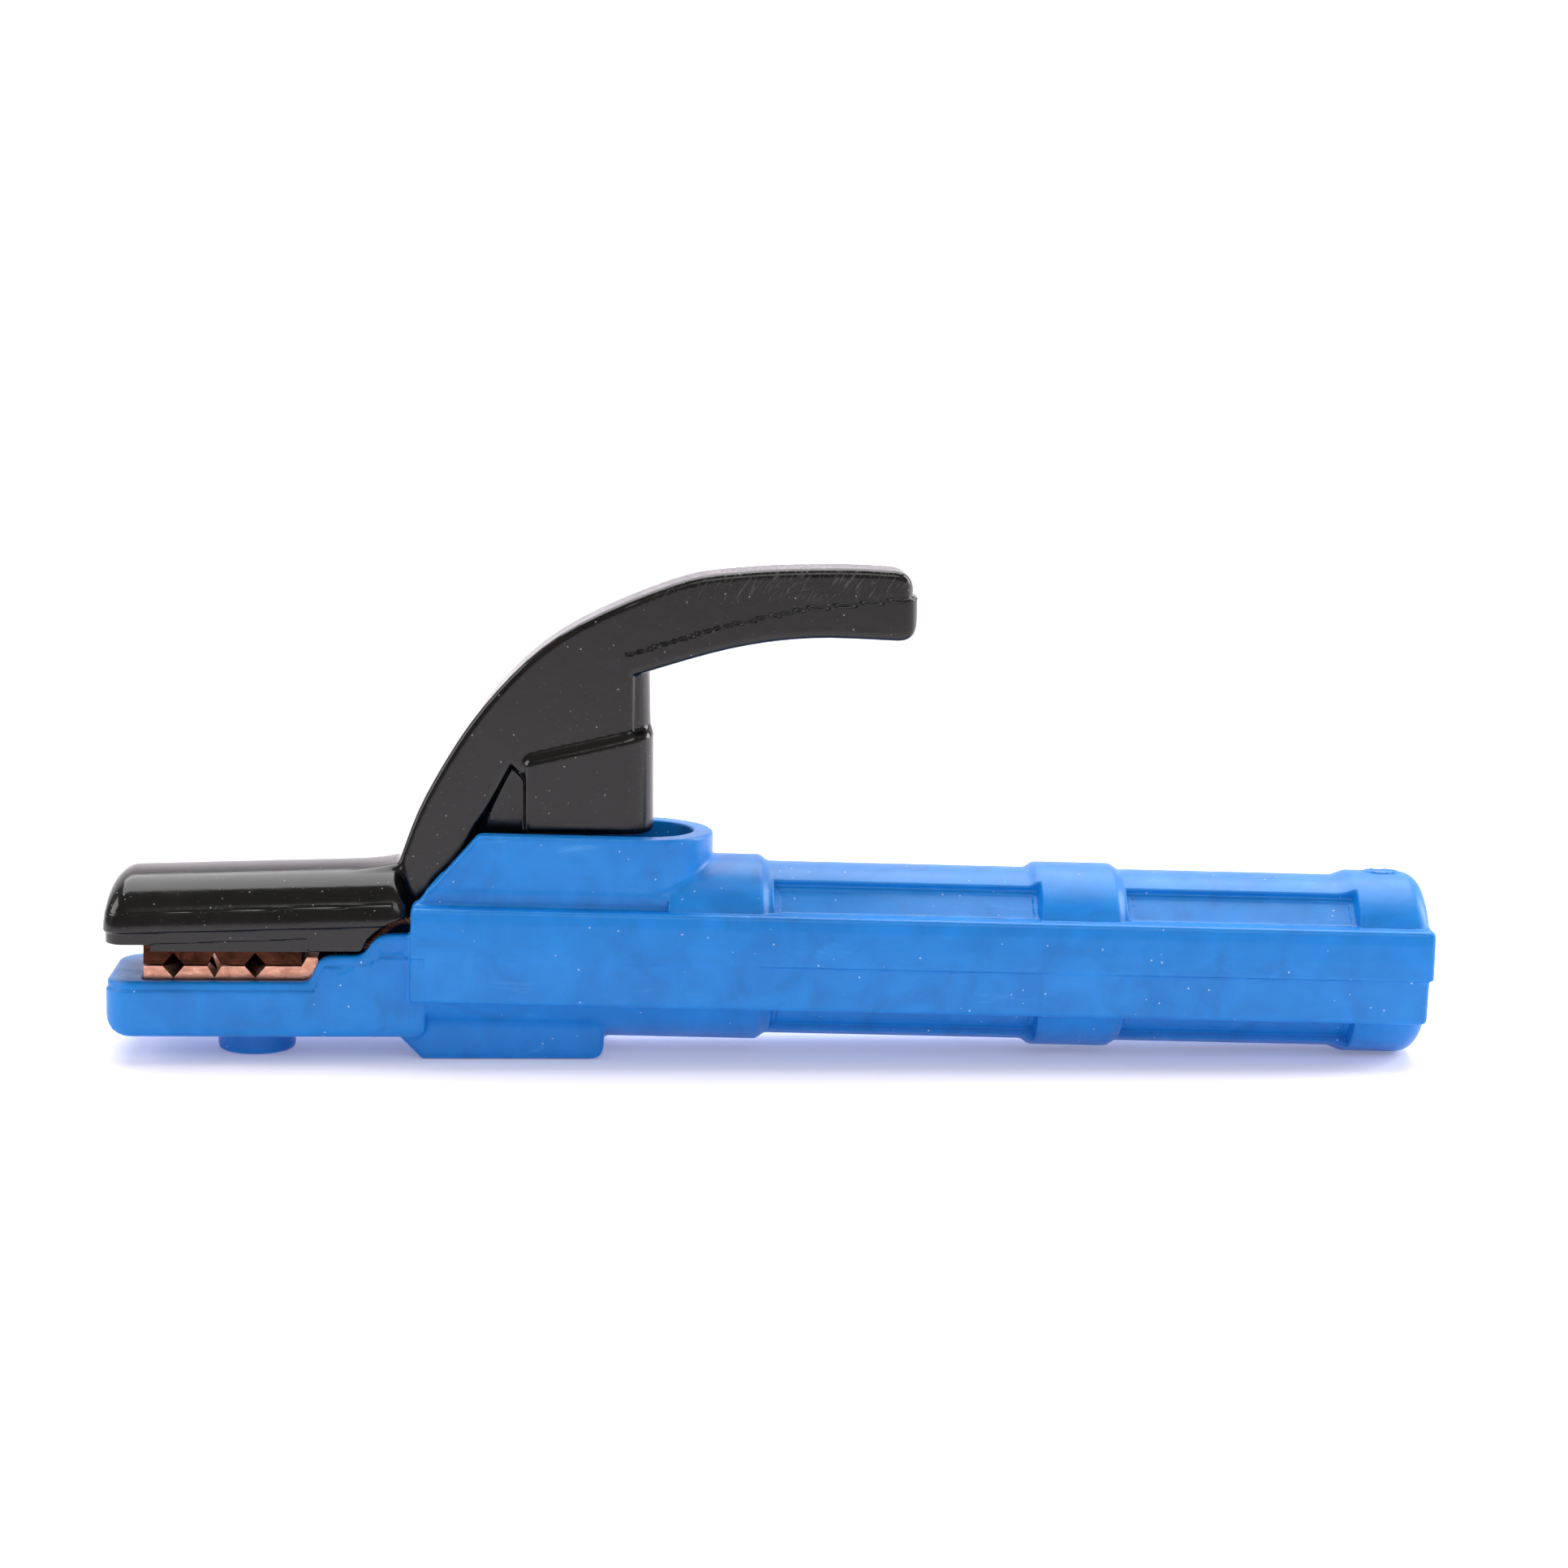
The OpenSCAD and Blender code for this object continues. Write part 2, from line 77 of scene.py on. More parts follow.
# %% Camera
def aim_camera(target, distance, azimuth, elevation, roll, focal_mm):
    """A camera that looks at target; azimuth 0 looks along +Y."""
    a, e, r = (math.radians(v) for v in (azimuth, elevation, roll))
    back = Vector((math.sin(a) * math.cos(e), -math.cos(a) * math.cos(e), math.sin(e)))
    right = (-back).cross(Vector((0, 0, 1))).normalized()
    up = right.cross(-back)
    side = right * math.cos(r) + up * math.sin(r)
    top = up * math.cos(r) - right * math.sin(r)
    camera = bpy.data.objects.new("camera", bpy.data.cameras.new("camera"))
    camera.data.sensor_width = 36
    camera.data.lens = focal_mm
    camera.data.clip_start = 0.01
    turned = Matrix((side, top, back)).transposed().to_4x4()
    camera.matrix_world = Matrix.Translation(target + back * distance) @ turned
    bpy.context.scene.collection.objects.link(camera)
    return camera


camera = aim_camera(Vector((2.35, 0, 51.5)) * MM, 680 * MM, -3.0, 8.9, 0.8, 81.86)
bpy.context.scene.camera = camera
print("camera at", [round(c, 3) for c in camera.location], "lens", camera.data.lens)


# %% Helpers for materials
def linear(hex_code):
    """An sRGB hex colour as linear RGBA."""
    parts = [int(hex_code[i:i + 2], 16) / 255 for i in (1, 3, 5)]
    return tuple(c / 12.92 if c <= 0.04045 else ((c + 0.055) / 1.055) ** 2.4 for c in parts) + (1.0,)


def add(tree, kind, inputs=None, **settings):
    """Adds a node. settings are its properties; inputs are values, or sockets to link from."""
    made = tree.nodes.new(kind)
    for key, value in settings.items():
        setattr(made, key, value)
    for key, value in (inputs or {}).items():
        if isinstance(value, bpy.types.NodeSocket):
            tree.links.new(value, made.inputs[key])
        else:
            made.inputs[key].default_value = value
    return made


def new_material(name):
    """A material with only an output, and its tree."""
    material = bpy.data.materials.new(name)
    material.use_nodes = True
    material.node_tree.nodes.clear()
    return material, material.node_tree


# %% Floor and lights
def white_sweep():
    """A floor 6 m wide that bends up into a wall behind. It glows a little, more towards the wall."""
    bend_r, half, front, back, top = 0.8, 3.0, -2.2, 2.6, 3.2
    section = [(front, 0.0), (back - bend_r, 0.0)]
    section += [(back - bend_r + bend_r * math.sin(a), bend_r - bend_r * math.cos(a))
                for a in (math.pi / 2 * i / 16 for i in range(1, 17))]
    section.append((back, top))
    verts = [(x, y, z) for y, z in section for x in (-half, half)]
    faces = [(2 * i, 2 * i + 1, 2 * i + 3, 2 * i + 2) for i in range(len(section) - 1)]
    mesh = bpy.data.meshes.new("sweep")
    mesh.from_pydata(verts, [], faces)
    mesh.shade_smooth()
    sweep = bpy.data.objects.new("sweep", mesh)
    bpy.context.scene.collection.objects.link(sweep)
    material, tree = new_material("matt_white_sweep")
    place = add(tree, "ShaderNodeTexCoord").outputs["Object"]
    depth = add(tree, "ShaderNodeSeparateXYZ", {"Vector": place}).outputs["Y"]
    glow = add(tree, "ShaderNodeMapRange", {"Value": depth, "From Min": 0.15, "From Max": 1.7, "To Min": 0.2,
                                            "To Max": 0.6}, interpolation_type="SMOOTHSTEP").outputs["Result"]
    shader = add(tree, "ShaderNodeBsdfPrincipled", {
        "Base Color": linear("#F3EFF4"), "Roughness": 0.75, "Specular IOR Level": 0.25,
        "Emission Color": linear("#FCF6FD"), "Emission Strength": glow})
    add(tree, "ShaderNodeOutputMaterial", {"Surface": shader.outputs["BSDF"]})
    sweep.data.materials.append(material)


def softbox(name, at, look_at, size, power):
    """A white rectangular light of size metres and power watts."""
    data = bpy.data.lights.new(name, "AREA")
    data.shape = "RECTANGLE"
    data.size, data.size_y = size
    data.energy = power
    light = bpy.data.objects.new(name, data)
    light.location = at
    light.rotation_euler = (Vector(look_at) - Vector(at)).to_track_quat("-Z", "Y").to_euler()
    bpy.context.scene.collection.objects.link(light)


white_sweep()
softbox("overhead", (0.0, 0.55, 1.25), (0.0, 0.15, 0.0), (1.7, 1.2), 24)
softbox("cable_end", (1.15, 0.35, 0.5), (0.0, 0.0, 0.05), (0.5, 0.9), 11)
softbox("jaw_end", (-1.2, -0.1, 0.6), (-0.05, 0.0, 0.05), (0.6, 0.8), 6)
softbox("front", (0.3, -1.5, 1.1), (0.0, 0.0, 0.05), (1.2, 0.7), 7)
world = bpy.data.worlds.new("studio")
world.use_nodes = True
world.node_tree.nodes["Background"].inputs["Color"].default_value = linear("#FAF6F1")
world.node_tree.nodes["Background"].inputs["Strength"].default_value = 0.36
bpy.context.scene.world = world
bpy.context.scene.view_settings.view_transform = "Standard"

# %% [markdown]
# Measures
#
# Overall sizes, the hinge and the handle's slope come from the frame's boxes, joint and mounts, in
# millimetres. A moulding's outline can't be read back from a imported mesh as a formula, so each moulding
# names its own sizes where it is made.

# %% Sizes taken from the frame
def box_mm(name):
    low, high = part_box(name)
    return [c / MM for c in low], [c / MM for c in high]


body_low, body_high = box_mm("insulating_body")
jaw_low, jaw_high = box_mm("upper_jaw")
hinge = next(j for j in frame["joints"] if j["name"] == "lever_hinge")
pivot = [c / MM for c in hinge["pos_m"]]
duct = next(m for m in frame["record"]["mounts"] if m["name"] == "cable_duct")
tilt = math.asin(-duct["axis"][2])
axis_z = duct["pos_m"][2] / MM + duct["pos_m"][0] / MM * math.tan(tilt)
duct_r = duct["dims"]["r_mm"]
rear_x = body_high[0]
front_x = -body_low[0]
print(f"pivot {pivot}, handle axis {axis_z:.2f} mm up, sloping {math.degrees(tilt):.2f} degrees")

# %% [markdown]
# Soft-edged mouldings
#
# Compression-moulded shells have a radius on every edge and a fillet in every corner. Booleans and bevels
# on such a mix of round and flat shapes leave slivers, and one subdivision cage for all of it is hard to
# draw. So each shell is written as a distance field: every primitive is a formula for the distance to its
# surface, and a smooth maximum or minimum joins two of them with a fillet of a chosen radius. The zero
# surface is then turned into quads by the surface-nets method: one vertex in each grid cell that the
# surface crosses, at the mean of its crossings, then pulled onto the true surface.

# %% Distance-field building blocks
def union(a, b, k=0.5):
    """Joins two solids with a fillet of about k."""
    h = np.maximum(k - np.abs(a - b), 0.0) / k
    return np.minimum(a, b) - h * h * k * 0.25


def common(a, b, k=0.5):
    """What two solids share, with its new edge rounded by about k."""
    return -union(-a, -b, k)


def cut(a, b, k=0.5):
    """Takes solid b out of solid a."""
    return common(a, -b, k)


def slab(v, low, high):
    return np.maximum(low - v, v - high)


def rectangle(u, v, u0, u1, v0, v1, r=0.0):
    """Distance to a rectangle with corner radius r."""
    du = np.abs(u - (u0 + u1) / 2) - (u1 - u0) / 2 + r
    dv = np.abs(v - (v0 + v1) / 2) - (v1 - v0) / 2 + r
    outside = np.sqrt(np.maximum(du, 0) ** 2 + np.maximum(dv, 0) ** 2)
    return outside + np.minimum(np.maximum(du, dv), 0) - r


def outline(u, v, points):
    """Distance to a closed polygon."""
    best = None
    inside = None
    for i, (bx, by) in enumerate(points):
        ax, ay = points[i - 1]
        ex, ey = bx - ax, by - ay
        wx, wy = u - ax, v - ay
        t = np.clip((wx * ex + wy * ey) / (ex * ex + ey * ey), 0, 1)
        d = (wx - ex * t) ** 2 + (wy - ey * t) ** 2
        best = d if best is None else np.minimum(best, d)
        crosses = ((ay > v) != (by > v)) & (u < ex * (v - ay) / (ey if ey else 1e-9) + ax)
        inside = crosses if inside is None else inside ^ crosses
    return np.where(inside, -1.0, 1.0) * np.sqrt(best)


def smooth_points(points, n=5):
    """A Catmull-Rom curve through the points, n steps to a stretch."""
    p = [points[0]] + list(points) + [points[-1]]
    out = []
    for i in range(1, len(p) - 2):
        for k in range(n):
            t = k / n
            out.append(tuple(
                0.5 * (2 * b + (c - a) * t + (2 * a - 5 * b + 4 * c - d) * t * t
                       + (3 * b - a - 3 * c + d) * t ** 3)
                for a, b, c, d in zip(p[i - 1], p[i], p[i + 1], p[i + 2])))
    return out + [tuple(points[-1])]


def rounded(points):
    """A polygon from (u, v, r) corners, each eased by a short curve that starts r from the corner."""
    out = []
    for i, (u, v, r) in enumerate(points):
        before, after = points[i - 1], points[(i + 1) % len(points)]
        if not r:
            out.append((u, v))
            continue
        a, b = ((u + (q[0] - u) * r / math.dist((u, v), q[:2]), v + (q[1] - v) * r / math.dist((u, v), q[:2]))
                for q in (before, after))
        for t in (0, 0.2, 0.4, 0.6, 0.8, 1):
            out.append(tuple((1 - t) ** 2 * p0 + 2 * t * (1 - t) * p1 + t * t * p2
                             for p0, p1, p2 in zip(a, (u, v), b)))
    return out


def step(v, start, end):
    """Goes smoothly from 0 at start to 1 at end."""
    t = np.clip((v - start) / (end - start), 0, 1)
    return t * t * (3 - 2 * t)


# %% From a distance field to a mesh
def grid_lines(stops):
    """Grid coordinates from (position, spacing) pairs: each spacing holds up to the next position."""
    lines = []
    for (a, spacing), (b, _) in zip(stops, stops[1:]):
        count = max(1, round((b - a) / spacing))
        lines += [a + (b - a) * i / count for i in range(count)]
    return np.array(lines + [stops[-1][0]])


def surface_net(field, xs, ys, zs, bend=None):
    """Vertices and quads of the field's zero surface over a grid. bend(x) shifts the grid in z."""
    shift = (lambda x: 0.0 * x) if bend is None else bend
    value = field(xs[:, None, None], ys[None, :, None],
                  zs[None, None, :] + shift(xs)[:, None, None]).astype(np.float32)
    inside = value < 0
    shape = tuple(n - 1 for n in value.shape)
    total = np.zeros(shape + (3,), np.float32)
    count = np.zeros(shape, np.int16)
    quads_at = []
    for axis in range(3):
        near = [slice(None)] * 3
        away = [slice(None)] * 3
        near[axis], away[axis] = slice(0, -1), slice(1, None)
        crossing = inside[tuple(near)] != inside[tuple(away)]
        i, j, k = np.nonzero(crossing)
        a = value[tuple(near)][i, j, k]
        b = value[tuple(away)][i, j, k]
        t = a / (a - b)
        point = np.stack([xs[i], ys[j], zs[k]], 1)
        line = (xs, ys, zs)[axis]
        base = (i, j, k)[axis]
        point[:, axis] = line[base] + t * (line[base + 1] - line[base])
        others = [o for o in range(3) if o != axis]
        index = np.stack([i, j, k], 1)
        for du in (0, -1):
            for dv in (0, -1):
                cell = index.copy()
                cell[:, others[0]] += du
                cell[:, others[1]] += dv
                ok = np.all((cell >= 0) & (cell < np.array(shape)), 1)
                c = cell[ok]
                np.add.at(total, (c[:, 0], c[:, 1], c[:, 2]), point[ok].astype(np.float32))
                np.add.at(count, (c[:, 0], c[:, 1], c[:, 2]), 1)
        quads_at.append((axis, others, index, a < 0))
    used = count > 0
    number = np.full(shape, -1, np.int64)
    number[used] = np.arange(used.sum())
    verts = (total[used] / count[used][:, None]).astype(np.float64)
    faces = []
    for axis, others, index, starts_inside in quads_at:
        ring = []
        for du, dv in ((-1, -1), (0, -1), (0, 0), (-1, 0)):
            cell = index.copy()
            cell[:, others[0]] += du
            cell[:, others[1]] += dv
            ring.append(number[cell[:, 0], cell[:, 1], cell[:, 2]])
        quad = np.stack(ring, 1)
        flip = starts_inside ^ (axis == 1)
        quad[~flip] = quad[~flip][:, ::-1]
        faces.append(quad)
    verts[:, 2] += shift(verts[:, 0])
    return verts, np.concatenate(faces)


def gradient(field, p, h=0.02):
    g = np.empty_like(p)
    for axis in range(3):
        q = p.copy()
        q[:, axis] += h
        high = field(q[:, 0], q[:, 1], q[:, 2])
        q[:, axis] -= 2 * h
        g[:, axis] = (high - field(q[:, 0], q[:, 1], q[:, 2])) / (2 * h)
    return g


def settle(field, verts, passes=2, reach=0.35):
    """Pulls vertices onto the zero surface, at most reach at a time, and never further from it."""
    for _ in range(passes):
        g = gradient(field, verts)
        d = field(verts[:, 0], verts[:, 1], verts[:, 2])
        move = g * (d / np.maximum((g * g).sum(1), 0.05))[:, None]
        length = np.linalg.norm(move, axis=1, keepdims=True)
        moved = verts - move * np.minimum(1, reach / np.maximum(length, 1e-9))
        nearer = np.abs(field(moved[:, 0], moved[:, 1], moved[:, 2])) < np.abs(d)
        verts = np.where(nearer[:, None], moved, verts)
    return verts


def mesh_object(name, verts_mm, faces):
    mesh = bpy.data.meshes.new(name)
    mesh.from_pydata((np.asarray(verts_mm) * MM).tolist(), [], np.asarray(faces).tolist())
    mesh.validate()
    mesh.update()
    mesh.shade_smooth()
    obj = bpy.data.objects.new(name, mesh)
    bpy.context.scene.collection.objects.link(obj)
    return obj


def triangles(mesh):
    return sum(len(face.vertices) - 2 for face in mesh.polygons)


def places_mm(mesh):
    """The mesh's vertices as rows, in millimetres."""
    at = np.empty(len(mesh.vertices) * 3)
    mesh.vertices.foreach_get("co", at)
    return at.reshape(-1, 3) / MM


def moulding(name, field, xs, ys, zs, keep, bend=None):
    """The field's surface as an object, thinned to the share keep of its triangles."""
    verts, faces = surface_net(field, xs, ys, zs, bend)
    obj = mesh_object(name, settle(field, verts), faces)
    thin = obj.modifiers.new("thin", "DECIMATE")
    thin.ratio = keep
    evaluated = obj.evaluated_get(bpy.context.evaluated_depsgraph_get())
    mesh = bpy.data.meshes.new_from_object(evaluated)
    obj.modifiers.remove(thin)
    obj.data = mesh
    mesh.vertices.foreach_set("co", (settle(field, places_mm(mesh), 1) * MM).ravel())
    mesh.update()
    mesh.shade_smooth()
    # the field's own slope gives smoother shading than the quads do
    normals = gradient(field, places_mm(mesh), 0.12)
    normals /= np.maximum(np.linalg.norm(normals, axis=1, keepdims=True), 1e-9)
    mesh.normals_split_custom_set_from_vertices(normals.tolist())
    print(f"{name}: {len(mesh.vertices)} vertices, {triangles(mesh)} triangles")
    return obj


# %% [markdown]
# The insulating body
#
# One blue moulding makes the handle, its side rails, the collar round the lever, the jaw tray and the foot.
# The handle slopes down a little towards the cable, so its rings, panels and rails are written in a frame
# of their own, with its axis on x. Where two mould halves meet, the upper one stands a little proud.

# %% Sizes of the blue body, in mm; a name that ends in W is half a width across y
TRAY_W = 14.5
TRAY_Z = 4.8
TRAY_RIM = 15.5
TRAY_FLOOR = 9.0
RAIL_X = -67.8
RAIL_H = 9.0
COLLAR_W = 13.7
COLLAR_WALL = 3.8
COLLAR_REAR = -11.1
COLLAR_TOP = 42.4
FOOT_W = 11.0
FOOT_REAR = -31.6
BOSS_X = -97.9
BOSS_R = 7.35
BAR_W = 9.4
BAR_TOP = 13.0
PANEL_DIST = 15.2
PANEL_SLOPE = math.radians(52)
TRAY_SIDE = rounded([(-front_x, TRAY_RIM, 0), (-front_x, -5, 0), (-65.1, -5, 0), (-65.1, 24.7, 0),
                     (-74, 24.7, 2.4), (-76.9, 20.6, 1.6), (-84.8, 20.4, 2.2), (-86.9, TRAY_RIM, 1.4)])
TRAY_PARTING = [(-front_x, 13.8), (-86.0, 13.8), (-84.0, 18.5), (-76.2, 18.7), (-73.4, 20.3), (-60, 20.3)]
FOOT_SIDE = [(-70.8, 4.9), (-66, 0), (FOOT_REAR, 0), (FOOT_REAR, 14), (-70.8, 14)]


def along(line, x):
    """The height at x of a line given as (x, z) points."""
    return np.interp(x, [p[0] for p in line], [p[1] for p in line])


def in_handle(x, z):
    """The handle's own x and z."""
    return (x * math.cos(tilt) - (z - axis_z) * math.sin(tilt),
            x * math.sin(tilt) + (z - axis_z) * math.cos(tilt))


def soft_profile(v, at, value, r=0.35):
    """A profile of straight stretches, with its corners eased over about r."""
    return sum(np.interp(v + d, at, value) for d in (-r, 0, r)) / 3


def handle_field(xl, y, zl):
    radius = soft_profile(xl, [-2.4, -0.8, 48.7, 50.3, 65, 66.7, 108.4, 111],
                          [17.7, 16.5, 16.5, 17.6, 17.6, 16.5, 16.5, 17.5])
    solid = np.maximum(np.sqrt(y * y + zl * zl) - radius, RAIL_X + 2.6 - xl)
    solid = common(solid, xl - (rear_x - 0.3), 4.6)
    out = np.abs(y) * math.cos(PANEL_SLOPE) + np.abs(zl) * math.sin(PANEL_SLOPE) - PANEL_DIST
    up = np.abs(zl) * math.cos(PANEL_SLOPE) - np.abs(y) * math.sin(PANEL_SLOPE)
    for start, end in ((0.3, 50.1), (67.4, 110.7)):
        for inset, deep in ((0.0, 0.0), (0.9, 0.22)):
            ends = slab(xl, start + inset, end - inset) - 0.3 * (out + deep)
            top = (up - 2.1 + inset - 0.3 * out) / 1.05
            solid = cut(solid, np.maximum(np.maximum(-(out + deep), ends), top), 0.22)
    return solid


def rail_field(xl, y, zl):
    # the upper mould half stands proud of the lower one along the parting line
    half = soft_profile(zl, [-RAIL_H, -0.62, -0.42, 3, 6.5, RAIL_H],
                        [17.15, 17.45, 17.77, 17.75, 17.56, 17.2], 0.08)
    end = xl - np.where(zl < -0.5, rear_x - 0.95, rear_x - 0.2)
    side = common(np.maximum(np.abs(y) - half, RAIL_X - xl), end, 1.6)
    return common(side, np.abs(zl) - RAIL_H, 1.0)


def round_end(x, y, end, w):
    """Plan distance to a strip of half-width w with a half-round end."""
    past = np.maximum(x - (end - w), 0)
    return np.sqrt(past * past + y * y) - w


def front_slope(x, z):
    """Distance in front of the slope from the rails up to the collar's rim."""
    return ((z - 29.3) * 12.9 - (x - RAIL_X) * 14.7) / math.hypot(12.9, 14.7)


def collar_field(x, y, z):
    rim = (z - COLLAR_TOP + x * math.tan(tilt)) * math.cos(tilt)
    wall = common(np.maximum(round_end(x, y, COLLAR_REAR, COLLAR_W), RAIL_X - x), rim, 0.7)
    return np.maximum(common(wall, front_slope(x, z), 0.7), axis_z - z)


def tray_field(x, y, z):
    # above its parting line the tray is a little smaller
    inset = 0.4 * step(z - along(TRAY_PARTING, x), -0.1, 0.1)
    plan = rectangle(x, y, -front_x + inset, -50, -TRAY_W + inset, TRAY_W - inset, 6)
    nose = common(-front_x - x, TRAY_Z - z, 6.4)
    return np.maximum(common(common(plan, outline(x, z, TRAY_SIDE), 1.1), TRAY_Z - z, 2.6), nose)


def outside_field(x, y, z):
    """The moulding before anything is taken out of it."""
    xl, zl = in_handle(x, z)
    # beside the collar, the round part stays inside the collar's walls
    beside = np.maximum(np.maximum(COLLAR_W - 0.3 - np.abs(y), RAIL_H - 0.6 - zl), xl + 20)
    solid = common(cut(handle_field(xl, y, zl), beside, 0.3), front_slope(x, z), 0.3)
    solid = union(solid, rail_field(xl, y, zl), 0.3)
    solid = union(solid, collar_field(x, y, z), 0.9)
    solid = union(solid, tray_field(x, y, z), 1.0)
    foot = common(outline(x, z, FOOT_SIDE), np.abs(y) - FOOT_W, 1.6)
    foot = common(foot, common(x - FOOT_REAR, -z, 3.4), 0.3)
    solid = union(solid, foot, 0.9)
    boss = common(np.sqrt((x - BOSS_X) ** 2 + y * y) - BOSS_R, slab(z, 0, TRAY_FLOOR), 1.2)
    solid = union(solid, boss, 0.8)
    # a small raised oval on top of the rear ring
    mark = np.abs(np.sqrt(((xl - 117.6) / 1.5) ** 2 + y * y) - 2.0) - 0.28
    return union(solid, np.maximum(mark, np.abs(zl - 17.5) - 0.3), 0.3)


def body_field(x, y, z):
    xl, zl = in_handle(x, z)
    # the cable's duct, narrower round the socket
    duct = np.sqrt(y * y + zl * zl) - np.where(xl > 27, duct_r, 11.0)
    solid = cut(outside_field(x, y, z), np.maximum(duct, -46 - xl), 0.5)
    # the collar's well, where the lever's spring box and neck move
    well = np.maximum(round_end(x, y, COLLAR_REAR - COLLAR_WALL, COLLAR_W - COLLAR_WALL), TRAY_FLOOR + 8 - z)
    solid = cut(solid, np.maximum(well, RAIL_X - 10 - x), 0.5)
    # room for the bar and its hinge ears, and in front of them the tray
    bar_room = np.maximum(np.abs(y) - np.where(z < BAR_TOP, BAR_W, duct_r), slab(z, TRAY_FLOOR, 29.3))
    solid = cut(solid, np.maximum(bar_room, slab(x, -69.1, -40)), 0.4)
    tray = np.maximum(rectangle(x, y, -118.3, -77, -11.5, 11.5, 1.5), TRAY_FLOOR - z)
    solid = cut(solid, np.minimum(tray, np.maximum(bar_room, slab(x, -79, -65.1))), 0.5)
    # the jaw screw's hole and the recess for its head
    around_boss = np.sqrt((x - BOSS_X) ** 2 + y * y)
    recess = np.minimum(np.maximum(around_boss - 5.3, z - 5.2), around_boss - 3.2)
    return cut(solid, np.maximum(recess, z - 10), 0.4)


# %% Mesh of the blue body
body_xs = grid_lines([(-126.4, 0.55), (-60, 0.75), (-6, 0.4), (2.4, 1.2), (47.6, 0.4), (53.6, 1.2),
                      (63.6, 0.4), (69.6, 1.2), (107.4, 0.4), (113, 0.55), (127, 0.5)])
body_ys = grid_lines([(-18.6, 0.5), (18.6, 0.5)])
body_zs = grid_lines([(-1.3, 0.5), (45.7, 0.5)])
blue_body = moulding("blue_body", body_field, body_xs, body_ys, body_zs, keep=0.5,
                     bend=lambda x: -np.tan(tilt) * np.maximum(x + 20, 0))

# %% [markdown]
# The black lever
#
# The second moulding holds the upper jaw in a long cover, rises as a flat arm and ends in a grip. Between the
# arm and the collar it widens into a box that holds the spring. Its edges are generously rounded, the grip's
# lower half is a little wider than the upper, and a flash line runs where the two mould halves met.

# %% Sizes of the black lever, in the same way
ARM_W = 6.2
BOX_W = 7.3
NECK_W = 5.3
TAIL_W = 8.05
SPRING_X = -31
COVER_W = 14.0
COVER_H = 10.4
ARM_EDGE = smooth_points([(-70.7, 36.7), (-65.4, 49.9), (-54.7, 66.7), (-40.4, 80.3), (-19.5, 90), (-6, 92.5),
                          (11.4, 93.26), (23.6, 92.8), (36, 91.7)], 5)
GRIP_EDGE = smooth_points([(36, 79.3), (24.6, 79.6), (6.9, 80), (-8.4, 77.9), (-26.3, 72.7)], 5)
ARM_SIDE = (ARM_EDGE + GRIP_EDGE
            + [(-26.3, 52), (-46, 52), (-49.4, 55.3), (-56.1, 42.3), (-59.6, 34), (-61.5, 30.2),
               (-64.5, 28.9), (-71.5, 27.2), (-80, 28), (-80, 34)])
GRIP_PARTING = [(-60, 68.0), (-25.8, 77.3), (-9.8, 82.3), (5.7, 85.7), (26.9, 87.8), (30, 88)]
NECK_SIDE = [(-71.5, 27.2), (-64.5, 28.9), (-61, 23), (-49, 23), (-49, 34), (-46, 43.6), (-46, 56),
             (-49.4, 55.3), (-66, 40)]
LIP_SIDE = [(-125.1, 28), (-125.1, 22.4), (-116.3, 22.4), (-116.3, 22.6), (-87, 23.7), (-87, 21.3),
            (-77.9, 21.3), (-76.9, 21.5), (-76.2, 23.4), (-74.6, 24.9), (-71.9, 26.7), (-71.5, 30)]
jaw_front, jaw_back = jaw_low[0], -88.5
jaw_half = jaw_high[1] + 0.05
UNDER_COVER = [(-77, 21.5), (-76.2, 23.4), (-74.6, 24.9), (-71.9, 26.7), (-68.1, 28.0), (-60, 28.6)]
COVER_TILT = math.radians(1.7)


def arm_field(x, y, z):
    below = step(along(GRIP_PARTING, x) - z, -0.12, 0.12)
    half = ARM_W + step(x, -29, -25) * (0.45 * below - 0.2)
    arm = common(outline(x, z, ARM_SIDE), np.abs(y) - half, 1.5)
    return common(arm, x - 26.2 - 0.8 * below, 4.0)


def spring_box_field(x, y, z):
    front_corners = common(np.abs(y) - BOX_W, -46.9 - x, 1.4)
    plan = np.maximum(front_corners, rectangle(x, y, -70, -22.6, -BOX_W, BOX_W, 5.5))
    ledge = (z - 57.1 - (x + 46.9) * 4.8 / 20.8) * 0.974
    return common(common(plan, ledge, 1.8), 42.6 - z, 1.2)


def column_field(x, y, z):
    return np.maximum(rectangle(x + (z - 42.6) * 0.024, y, -40, -22.6, -5.9, 5.9, 5.3), slab(z, 44, 76))


